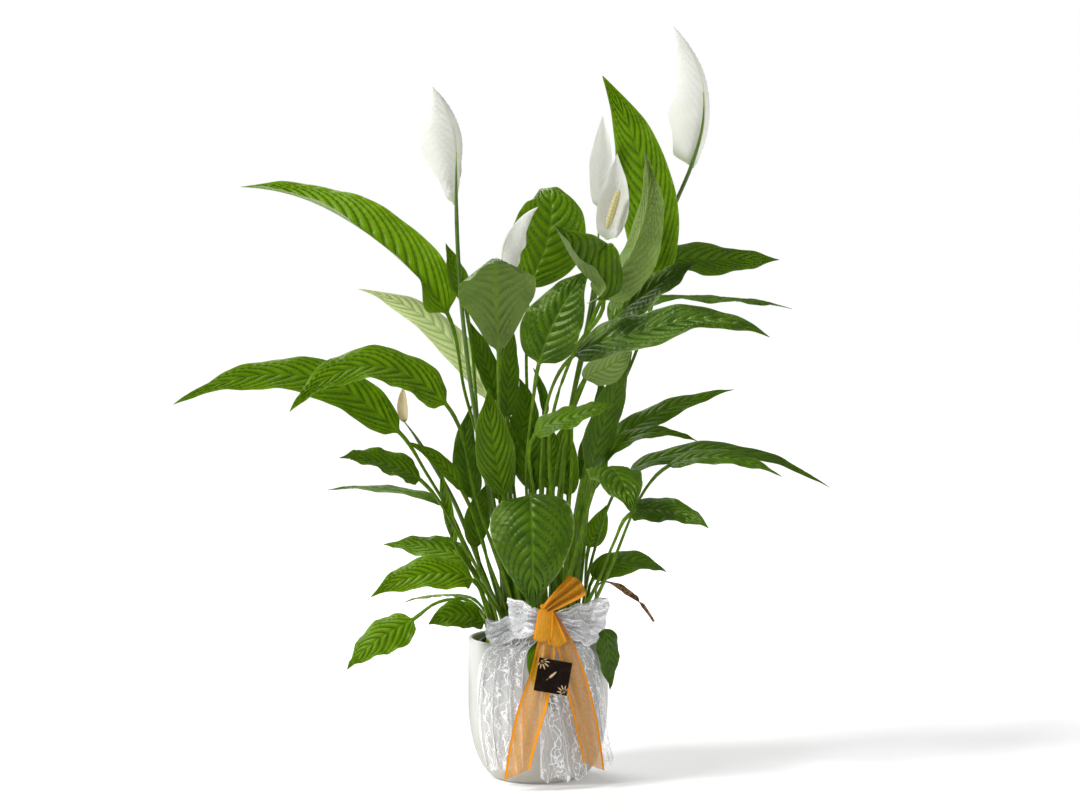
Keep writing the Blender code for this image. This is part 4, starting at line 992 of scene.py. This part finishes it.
def spadix_finish():
    """Cream knobs with a fine darker grain, and painted shade that darkens the pits between them."""
    made, tree, shader = finish_named("spadix_cream", Roughness=0.75)
    place = own_place(tree)
    wear_and_hollows = new_node(tree, "ShaderNodeNewGeometry").outputs["Pointiness"]
    grain = between(tree, cloudy(tree, place, 800, 3.0), 0.35, 0.65, 0.0, 0.35)
    # Painted shade: darker where the surface is hollow, in the pits between the knobs, plus a fine grain.
    grain_and_pit_shade = sums(tree, "ADD", between(tree, wear_and_hollows, 0.44, 0.54, 0.75, 0.0), grain)
    tree.links.new(blend(tree, grain_and_pit_shade, SPADIX_CREAM, SPADIX_GRAIN_AND_PIT_SHADE), shader.inputs["Base Color"])
    bumped(tree, shader, cloudy(tree, place, 1500, 3.0), 0.0003)
    return made


stalk_green = stalk_finish()
spathe_white = spathe_finish("spathe_white", SPATHE_WHITE, SPATHE_SHADE, SPATHE_GREEN)
spadix_cream = spadix_finish()
for name, (root, stem, blade, broadest, width, face, turn_in, club) in FLOWERS.items():
    made = stalk(f"{name}_stalk_grown", [on_soil(root)] + [over_soil(point) for point in stem], stalk_green)
    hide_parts(f"{name}_stalk")
    knots = [over_soil(point) for point in blade]
    made = spathe(f"{name}_spathe_grown", knots, broadest, width / 1000, face, turn_in, spathe_white)
    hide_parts(f"{name}_spathe")
    if club:
        made = spadix(f"{name}_spadix_grown", over_soil(club[0]), over_soil(club[1]), spadix_cream)
        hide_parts(f"{name}_spadix")

knots = [on_soil(FADED_ROOT)] + [over_soil(point) for point in FADED_STALK + FADED_BLADE]
faded_stalk = stalk("flower_faded_stalk", knots[:4], stalk_green)
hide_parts("flower_faded")
faded_cream = spathe_finish("spathe_faded", FADED_CREAM, SPATHE_SHADE, FADED_BROWN)
faded = spathe("flower_faded_spathe", knots[3:], 0.4, FADED_WIDTH, (0, -1, 0), 30, faded_cream)
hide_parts("flower_faded")


# ---- Lace bow: white floral net ribbon about 60 mm wide, tied round the stems over the rim. Two
# loops a side are gathered at the knot, and three cut ends hang down the front of the pot.
LACE_CORD = 0.0010
SPRIG = 0.0042
LACE_MESH = 0.0019
LACE_THREAD = 0.00016
LACE_WIDTH = 0.060
CRUMPLES = 75
LACE_CRUMPLE = 0.006
CRUMPLE_SEED = 3
KNOT = Vector((0.009, -(POT_RADIUS + 0.0125), POT_HEIGHT + 0.032))

LACE_WHITE = (0.90, 0.90, 0.92, 1)
LACE_SHADE = (0.84, 0.84, 0.86, 1)


def between_stops(stops, share):
    """Reads a list of equal tuples at a share of its length, smoothly (a Catmull-Rom curve)."""
    place = min(max(share, 0.0), 1.0) * (len(stops) - 1)
    k = min(int(place), len(stops) - 2)
    t = place - k
    values = []
    for a, b, c, d in zip(
        stops[max(k - 1, 0)], stops[k], stops[k + 1], stops[min(k + 2, len(stops) - 1)]
    ):
        values.append(
            0.5 * (2 * b + (c - a) * t + (2 * a - 5 * b + 4 * c - d) * t * t + (3 * b - a - 3 * c + d) * t**3)
        )
    return values


def cloth(name, along, across, place, width, length, finish, crumple=0.0):
    """An open strip of cloth. place(u, v) takes 0 to 1 along it and -1 to 1 across to a point. Its
    own map is in metres on the cut cloth, so a weave keeps its size."""
    noise.seed_set(CRUMPLE_SEED)
    bm = bmesh.new()
    bmesh.ops.create_grid(bm, x_segments=across, y_segments=along, size=1)
    cut = {}
    for vertex in bm.verts:
        u, v = (vertex.co.y + 1) / 2, vertex.co.x
        cut[vertex] = ((v + 1) / 2 * width, u * length)
        vertex.co = place(u, v)
        vertex.co += noise.noise_vector(vertex.co * CRUMPLES) * crumple
    weave = bm.loops.layers.uv.new("weave")
    for face in bm.faces:
        for loop in face.loops:
            loop[weave].uv = cut[loop.vert]
    return keep_mesh(name, bm, finish, 180)


def hanging(x, out, height):
    """A point in front of the pot at a distance outside its wall."""
    reach = POT_RADIUS + out
    return Vector((x, -math.sqrt(max(reach * reach - x * x, 1e-6)), height))


def lace_tail(name, stops, folds, deep, seed, length, finish):
    """A hanging end. A stop is x, the distance outside the wall, the height and half the width."""
    draw = random.Random(seed)
    phase, drift = draw.uniform(0, 6), draw.uniform(2, 4)

    def place(u, v):
        x, out, height, half = between_stops(stops, u)
        turn = 2 * math.pi * folds * v + phase + drift * math.sin(2.2 * u + v)
        ripple = deep * (0.35 + 0.65 * u) * (0.7 * math.sin(turn) + 0.5 * math.sin(2.7 * turn + 5 * u))
        pull = 0.12 * half * math.sin(turn + 1.3) * (1 - v * v)
        drop = -0.003 * math.cos(3 * math.pi * v) * ease((u - 0.9) / 0.1)
        return hanging(x + v * half + pull, max(out + ripple, 0.0012), height + drop)

    made = cloth(name, 150, 60, place, LACE_WIDTH, length, finish)
    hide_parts("lace_bow")


def bow_loop(name, base, reach, spread, depth, halves, folds, deep, cut, finish, crumple=0.0):
    """A loop of ribbon: out in front from the knot, round, and back behind it. spread is the way
    across the ribbon, and halves half its width at the knot and at the far end."""
    width, length = cut
    forward = Vector((0, -1, 0))

    def place(u, v):
        far = math.sin(math.pi * u)
        half = halves[0] + (halves[1] - halves[0]) * abs(far) ** 0.8
        swing = depth * math.cos(math.pi * u)
        turn = 2 * math.pi * folds * v + 1.1
        ripple = deep * (1 - 0.45 * far) * math.sin(turn + 0.8 * u)
        bulge = 0.12 * (1 - v * v) * far
        return base + reach * (far**0.85 + bulge) + spread * (v * half) + forward * (swing + ripple)

    return cloth(name, 70, 50, place, width, length, finish, crumple)


def lace_loop(name, reach, spread, depth, halves, folds, deep, length, finish):
    cut = (LACE_WIDTH, length)
    made = bow_loop(name, KNOT, reach, spread, depth, halves, folds, deep, cut, finish, LACE_CRUMPLE)
    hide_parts("lace_bow")


def lace_finish(name, gathered):
    """Floral net: a fine mesh of thread, heavier cords round petal shapes, petals worked denser
    and a corded edge. What isn't thread is open."""
    made, tree, shader = finish_named(name, Roughness=0.8, Specular_IOR_Level=0.25)
    weave = new_node(tree, "ShaderNodeUVMap", uv_map="weave").outputs[0]
    split = new_node(tree, "ShaderNodeSeparateXYZ", {0: weave})

    def vine(pitch, swing, wave, start, thick):
        """Wavy cords along the ribbon, pitch apart, that wander by swing every wave of length."""
        turn = sums(tree, "MULTIPLY_ADD", split.outputs[1], 2 * math.pi / wave, start)
        wander = times(tree, sums(tree, "SINE", turn), swing)
        loose = between(tree, cloudy(tree, weave, 75 + 10 * start, 2.0), 0.2, 0.8, -1.3 * swing, 1.3 * swing)
        place = sums(tree, "ADD", sums(tree, "ADD", split.outputs[0], wander), loose)
        off = sums(tree, "PINGPONG", place, pitch / 2)
        return between(tree, off, thick * 0.35, thick * 0.75, 1.0, 0.0)

    def cells(size, low, high):
        inputs = {"Vector": weave, "Scale": 1 / size, "Randomness": 0.9}
        edge = new_node(
            tree, "ShaderNodeTexVoronoi", inputs, feature="DISTANCE_TO_EDGE", voronoi_dimensions="2D"
        ).outputs[0]
        return between(tree, edge, low, high, 1.0, 0.0)

    cord = vine(0.0095, 0.0026, 0.031, 0.0, LACE_CORD)
    cord = sums(tree, "MAXIMUM", cord, vine(0.0120, -0.0030, 0.024, 1.3, LACE_CORD))
    cord = sums(tree, "MAXIMUM", cord, vine(0.0190, 0.0055, 0.047, 2.6, 1.3 * LACE_CORD))
    worked = between(tree, cloudy(tree, weave, 120, 2.0), 0.57, 0.63)
    inner = times(tree, cells(SPRIG, 0.10, 0.20), worked)
    dense = sums(tree, "MULTIPLY_ADD", worked, 0.25, 0.45 * gathered)
    thin = LACE_THREAD / LACE_MESH
    mesh = times(tree, cells(LACE_MESH, thin, 2.2 * thin), 0.5 + gathered)
    side = sums(tree, "ABSOLUTE", sums(tree, "SUBTRACT", split.outputs[0], LACE_WIDTH / 2))
    hem = between(tree, side, LACE_WIDTH / 2 - 0.0022, LACE_WIDTH / 2 - 0.0012)
    thread = sums(tree, "MAXIMUM", sums(tree, "MAXIMUM", cord, inner), sums(tree, "MAXIMUM", mesh, hem))
    thread = sums(tree, "MAXIMUM", thread, dense)
    colour = blend(tree, sums(tree, "MAXIMUM", cord, hem), LACE_SHADE, LACE_WHITE)
    tree.links.new(colour, shader.inputs["Base Color"])
    tree.links.new(thread, shader.inputs["Alpha"])
    bumped(tree, shader, sums(tree, "MAXIMUM", cord, times(tree, inner, 0.6)), 0.0006)
    return made


lace_white = lace_finish("lace_white", 0.0)
lace_gathered = lace_finish("lace_white_gathered", 0.4)
lace_tail(
    "lace_tail_left",
    [(0.006, 0.0125, 0.196, 0.006), (-0.016, 0.012, 0.176, 0.017), (-0.038, 0.009, 0.156, 0.024),
     (-0.044, 0.006, 0.115, 0.026), (-0.043, 0.006, 0.066, 0.025), (-0.038, 0.006, 0.022, 0.021)],
    1.3, 0.0026, 3, 0.185, lace_white,
)
lace_tail(
    "lace_tail_centre",
    [(0.010, 0.012, 0.190, 0.006), (0.012, 0.011, 0.165, 0.012), (0.018, 0.009, 0.125, 0.018),
     (0.026, 0.008, 0.075, 0.024), (0.030, 0.008, 0.012, 0.027)],
    1.1, 0.0024, 5, 0.180, lace_white,
)
lace_tail(
    "lace_tail_right",
    [(0.014, 0.0125, 0.192, 0.005), (0.032, 0.012, 0.176, 0.010), (0.050, 0.010, 0.155, 0.014),
     (0.062, 0.008, 0.110, 0.014), (0.068, 0.008, 0.060, 0.013), (0.076, 0.008, 0.022, 0.012)],
    1.2, 0.0024, 8, 0.190, lace_white,
)
lace_loop(
    "lace_loop_left", Vector((-0.036, 0.004, 0.004)), Vector((-0.25, -0.1, 0.96)), 0.007,
    (0.006, 0.025), 2.2, 0.0028, 0.085, lace_gathered,
)
lace_loop(
    "lace_loop_left_low", Vector((-0.062, 0.020, -0.018)), Vector((-0.35, 0.1, 0.9)), 0.004,
    (0.005, 0.018), 2.0, 0.0025, 0.125, lace_gathered,
)
lace_loop(
    "lace_loop_right", Vector((0.064, 0.012, 0.004)), Vector((0.3, 0.1, 0.94)), 0.006,
    (0.006, 0.021), 2.4, 0.0026, 0.130, lace_gathered,
)
lace_loop(
    "lace_loop_right_low", Vector((0.058, 0.008, -0.016)), Vector((0.35, -0.1, 0.92)), 0.005,
    (0.005, 0.016), 2.0, 0.0024, 0.115, lace_gathered,
)


def ribbon_knot(name, centre, size, turns, finish):
    """The knot: a pinched band of gathered ribbon round the middle of the bow, as a closed skin."""
    rows, around = 40, 48

    def place(k):
        share = 2 * k / (rows - 1) - 1

        def spot(j):
            angle = 2 * math.pi * j / around
            crease = 1 + 0.10 * math.sin(turns * angle + 1.5 * share) + 0.05 * math.sin(2 * turns * angle)
            round_end = math.sqrt(max(1 - abs(share) ** 4, 0.0)) * (1 - 0.15 * math.cos(math.pi * share))
            x = size[0] * math.cos(angle) * crease * round_end
            y = size[1] * math.sin(angle) * crease * round_end
            return centre + Vector((x, y, size[2] * share))

        return spot

    def marks(k, j, below):
        return (0.03, k * 0.0004), (0, 0)

    return skin(name, rows, around, place, marks, finish)


# ---- Organza bow: sheer orange ribbon with satin edges, tied over the lace. It has a square loop
# below the knot, a long loop up to the right, a short fold between and two slanted cut ends.
ORGANZA_WIDTH = 0.034
SATIN_EDGE = 0.0036
WEFT = 0.0007
BOW = Vector((0.009, -(POT_RADIUS + 0.023), POT_HEIGHT + 0.046))

ORANGE = (0.86, 0.30, 0.001, 1)
ORANGE_EDGE = (0.66, 0.235, 0.001, 1)
ORANGE_SHEER = (0.56, 0.26, 0.018, 1)


def organza_finish(name, sheer):
    """Sheer woven ribbon: satin edges, and a middle that lets what is behind it through."""
    made, tree, shader = finish_named(
        name, Roughness=0.5, Specular_IOR_Level=0.12, Sheen_Weight=0.08, Sheen_Roughness=0.4
    )
    weave = new_node(tree, "ShaderNodeUVMap", uv_map="weave").outputs[0]
    split = new_node(tree, "ShaderNodeSeparateXYZ", {0: weave})
    side = sums(tree, "ABSOLUTE", sums(tree, "SUBTRACT", split.outputs[0], ORGANZA_WIDTH / 2))
    satin = between(tree, side, ORGANZA_WIDTH / 2 - SATIN_EDGE, ORGANZA_WIDTH / 2 - SATIN_EDGE * 0.85)
    ribs = sums(tree, "PINGPONG", sums(tree, "DIVIDE", split.outputs[1], WEFT), 0.5)
    warps = sums(tree, "PINGPONG", sums(tree, "DIVIDE", split.outputs[0], WEFT), 0.5)
    threads = sums(tree, "ADD", ribs, warps)
    slubs = between(tree, cloudy(tree, weave, 260, 4.0), 0.35, 0.7)
    colour = blend(tree, satin, ORANGE_SHEER, ORANGE)
    colour = blend(tree, times(tree, slubs, 0.35), colour, ORANGE)
    rim = between(tree, side, ORGANZA_WIDTH / 2 - 0.0009, ORGANZA_WIDTH / 2 - 0.0004)
    colour = blend(tree, rim, colour, ORANGE_EDGE)
    tree.links.new(colour, shader.inputs["Base Color"])
    open_weave = sums(tree, "ADD", times(tree, slubs, 0.12), times(tree, threads, 0.2))
    open_weave = sums(tree, "ADD", open_weave, sheer - 0.16)
    tree.links.new(sums(tree, "MAXIMUM", satin, open_weave), shader.inputs["Alpha"])
    bumped(tree, shader, threads, 0.0002, 0.6)
    return made


def organza_tail(name, stops, folds, deep, length, slant, finish):
    """A hanging end, cut on a slant. A stop is x, distance outside the wall, height and half width."""

    def place(u, v):
        x, out, height, half = between_stops(stops, u)
        turn = 2 * math.pi * folds * v + 1.4 * math.sin(3.0 * u) + 0.6
        ripple = deep * math.sin(turn) * (1 - 0.5 * u)
        drop = slant * v * half * ease((u - 0.55) / 0.45)
        return hanging(x + v * half, out + ripple, height + drop)

    made = cloth(name, 130, 40, place, ORGANZA_WIDTH, length, finish)
    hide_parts("organza_bow")


def organza_loop(name, base, reach, spread, depth, halves, folds, deep, length, finish):
    made = bow_loop(name, base, reach, spread, depth, halves, folds, deep, (ORGANZA_WIDTH, length), finish)
    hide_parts("organza_bow")


organza_sheer = organza_finish("organza_orange", 0.66)
organza_thick = organza_finish("organza_orange_doubled", 0.90)
organza_tail(
    "organza_tail_left",
    [(0.012, 0.022, 0.207, 0.005), (0.009, 0.021, 0.172, 0.010), (0.004, 0.020, 0.135, 0.014),
     (-0.007, 0.0195, 0.095, 0.0165), (-0.017, 0.019, 0.055, 0.016), (-0.024, 0.019, 0.020, 0.015)],
    0.8, 0.0018, 0.180, 0.5, organza_sheer,
)
organza_tail(
    "organza_tail_right",
    [(0.014, 0.023, 0.208, 0.005), (0.028, 0.022, 0.178, 0.009), (0.040, 0.021, 0.140, 0.0125),
     (0.050, 0.0205, 0.100, 0.0135), (0.058, 0.020, 0.062, 0.0135), (0.064, 0.020, 0.026, 0.0125)],
    0.9, 0.002, 0.185, -0.55, organza_sheer,
)
organza_loop(
    "organza_loop_low", BOW, Vector((-0.0035, 0, -0.033)), Vector((1, 0, 0.03)), 0.0045,
    (0.0085, 0.0110), 0.4, 0.0010, 0.060, organza_thick,
)
organza_loop(
    "organza_loop_high", BOW, Vector((0.036, 0.004, 0.027)), Vector((-0.62, 0, 0.78)), 0.0060,
    (0.0050, 0.0150), 1.4, 0.0030, 0.098, organza_thick,
)
organza_loop(
    "organza_fold", BOW, Vector((0.013, 0.002, -0.038)), Vector((1, 0, 0.2)), 0.0030,
    (0.0070, 0.0105), 0.7, 0.0012, 0.062, organza_thick,
)
organza_knot = ribbon_knot(
    "organza_knot", BOW + Vector((0, 0.001, 0)), (0.0064, 0.0056, 0.0062), 5, organza_thick
)
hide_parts("organza_bow")
lace_knot = ribbon_knot("lace_knot", KNOT, (0.0085, 0.0060, 0.0085), 6, lace_white)
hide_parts("lace_bow")


# ---- Gift tag: a small square of dark card, tied in front of the bow's ends. It is printed with a
# pale gold sprig in two corners and a leaf in the middle.
TAG_DARK = (0.007, 0.003, 0.0015, 1)
TAG_WORN = (0.018, 0.009, 0.005, 1)
TAG_GOLD = (0.62, 0.43, 0.24, 1)
TAG_TURN = 10
TAG_LOW, TAG_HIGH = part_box("gift_tag")
TAG_FACE = Vector(((TAG_LOW.x + TAG_HIGH.x) / 2, TAG_LOW.y - 0.0001, (TAG_LOW.z + TAG_HIGH.z) / 2))


def tag_card_finish():
    made, tree, shader = finish_named("tag_card", Roughness=0.7, Specular_IOR_Level=0.08)
    place = own_place(tree)
    smudge = between(tree, cloudy(tree, place, 110, 4.0), 0.45, 0.75)
    tree.links.new(blend(tree, smudge, TAG_DARK, TAG_WORN), shader.inputs["Base Color"])
    bumped(tree, shader, cloudy(tree, place, 1500, 2.0), 0.0001)
    return made


def tag_gold_finish():
    made, tree, shader = finish_named("tag_gold", Roughness=0.45, Metallic=0.35)
    place = own_place(tree)
    wear_and_hollows = between(tree, cloudy(tree, place, 900, 3.0), 0.5, 0.7, 0.0, 0.6)
    tree.links.new(blend(tree, wear_and_hollows, TAG_GOLD, TAG_WORN), shader.inputs["Base Color"])
    return made


def tag_leaf(bm, foot, heading, length, width):
    """One printed leaf: a circle drawn out to a pointed leaf and given the thickness of the ink."""
    made = bmesh.ops.create_circle(bm, cap_ends=True, segments=14, radius=0.5)["verts"]
    turn = math.radians(heading)
    for vertex in made:
        along, side = vertex.co.y + 0.5, vertex.co.x
        side *= 1 - 0.55 * along
        x = foot[0] + along * length * math.sin(turn) + side * width * math.cos(turn)
        z = foot[1] + along * length * math.cos(turn) - side * width * math.sin(turn)
        vertex.co = (x, 0, z)
    faces = list({face for vertex in made for face in vertex.link_faces})
    raised = bmesh.ops.extrude_face_region(bm, geom=faces)["geom"]
    for vertex in [item for item in raised if isinstance(item, bmesh.types.BMVert)]:
        vertex.co.y -= 0.00015


def tag_fan(bm, foot, heading, leaves, length):
    """A corner ornament: a fan of leaves, longest in the middle, with a short stalk below each."""
    for k in range(leaves):
        lean = 2 * k / (leaves - 1) - 1
        size = length * (1 - 0.35 * lean * lean)
        turn = heading + 72 * lean
        tag_leaf(bm, foot, turn, size * 0.4, 0.0003)
        way = (math.sin(math.radians(turn)), math.cos(math.radians(turn)))
        start = (foot[0] + way[0] * size * 0.4, foot[1] + way[1] * size * 0.4)
        tag_leaf(bm, start, turn, size * 0.6, size * 0.2)


def tag_print(finish):
    bm = bmesh.new()
    tag_fan(bm, (-0.0160, 0.0160), 135, 6, 0.0110)
    tag_fan(bm, (0.0160, -0.0160), -45, 6, 0.0100)
    tag_leaf(bm, (-0.0040, -0.0020), 40, 0.0110, 0.0036)
    tag_leaf(bm, (-0.0070, -0.0052), 42, 0.0050, 0.0004)
    bmesh.ops.recalc_face_normals(bm, faces=bm.faces)
    turn = math.radians(TAG_TURN)
    for vertex in bm.verts:
        x, y, z = vertex.co
        right = x * math.cos(turn) + z * math.sin(turn)
        vertex.co = TAG_FACE + Vector((right, y, z * math.cos(turn) - x * math.sin(turn)))
    return keep_mesh("tag_print", bm, finish, 30)


gift_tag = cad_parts["gift_tag"]
gift_tag.data.materials.clear()
gift_tag.data.materials.append(tag_card_finish())
tag_print(tag_gold_finish())


# ---- Floor and light: a pale floor that glows as painted light, less near the pot than further out,
# a soft high sun from the front left, a large soft light from behind that shines through the leaves,
# and a low fill from the right.
FLOOR_PALE = (0.93, 0.93, 0.93, 1)
FLOOR_WORN = (0.90, 0.90, 0.90, 1)
FLOOR_SIZE = 14
FLOOR_GLOW = (0.16, 0.30)
FLOOR_GLOW_REACH = (0.4, 1.6)
SKY_LIGHT = 0.33

floor_bm = bmesh.new()
bmesh.ops.create_circle(floor_bm, cap_ends=True, segments=96, radius=FLOOR_SIZE)
floor_mesh = bpy.data.meshes.new("floor")
floor_bm.to_mesh(floor_mesh)
floor_bm.free()
floor = bpy.data.objects.new("floor", floor_mesh)
bpy.context.scene.collection.objects.link(floor)
floor_finish, floor_tree, floor_shader = finish_named(
    "floor", Roughness=0.7, Specular_IOR_Level=0.2, Emission_Color=FLOOR_PALE
)
floor_patches = between(floor_tree, cloudy(floor_tree, own_place(floor_tree), 2.0), 0.3, 0.7)
floor_tree.links.new(
    blend(floor_tree, times(floor_tree, floor_patches, 0.1), FLOOR_PALE, FLOOR_WORN),
    floor_shader.inputs["Base Color"],
)
# Painted light: the floor glows, less near the pot and more further out, so the far floor reads as white.
floor_place = own_place(floor_tree)
far_out = new_node(floor_tree, "ShaderNodeVectorMath", {0: floor_place}, operation="LENGTH").outputs["Value"]
floor_glow = between(floor_tree, far_out, *FLOOR_GLOW_REACH, *FLOOR_GLOW)
floor_tree.links.new(floor_glow, floor_shader.inputs["Emission Strength"])
floor.data.materials.append(floor_finish)


def light(name, kind, place, aim, energy, **settings):
    data = bpy.data.lights.new(name, kind)
    data.energy = energy
    for key, value in settings.items():
        setattr(data, key, value)
    made = bpy.data.objects.new(name, data)
    made.location = place
    made.rotation_euler = (Vector(aim) - Vector(place)).to_track_quat("-Z", "Y").to_euler()
    bpy.context.scene.collection.objects.link(made)


light("key", "SUN", (-2.4, -1.3, 2.6), (0, 0, 0.3), 2.9, angle=math.radians(16))
light("back", "AREA", (-0.9, 1.6, 1.9), (0, 0, 0.5), 34, shape="RECTANGLE", size=1.6, size_y=1.2)
light("right_fill", "AREA", (1.9, -0.8, 0.9), (0, 0, 0.45), 6, shape="RECTANGLE", size=1.2, size_y=1.2)

world = bpy.data.worlds.new("studio")
world.use_nodes = True
bpy.context.scene.world = world
sky = world.node_tree.nodes["Background"]
seen = new_node(world.node_tree, "ShaderNodeLightPath").outputs["Is Camera Ray"]
world.node_tree.links.new(between(world.node_tree, seen, 0.0, 1.0, SKY_LIGHT, 1.0), sky.inputs["Strength"])
sky.inputs["Color"].default_value = (1, 1, 1, 1)
bpy.context.scene.view_settings.view_transform = "Standard"
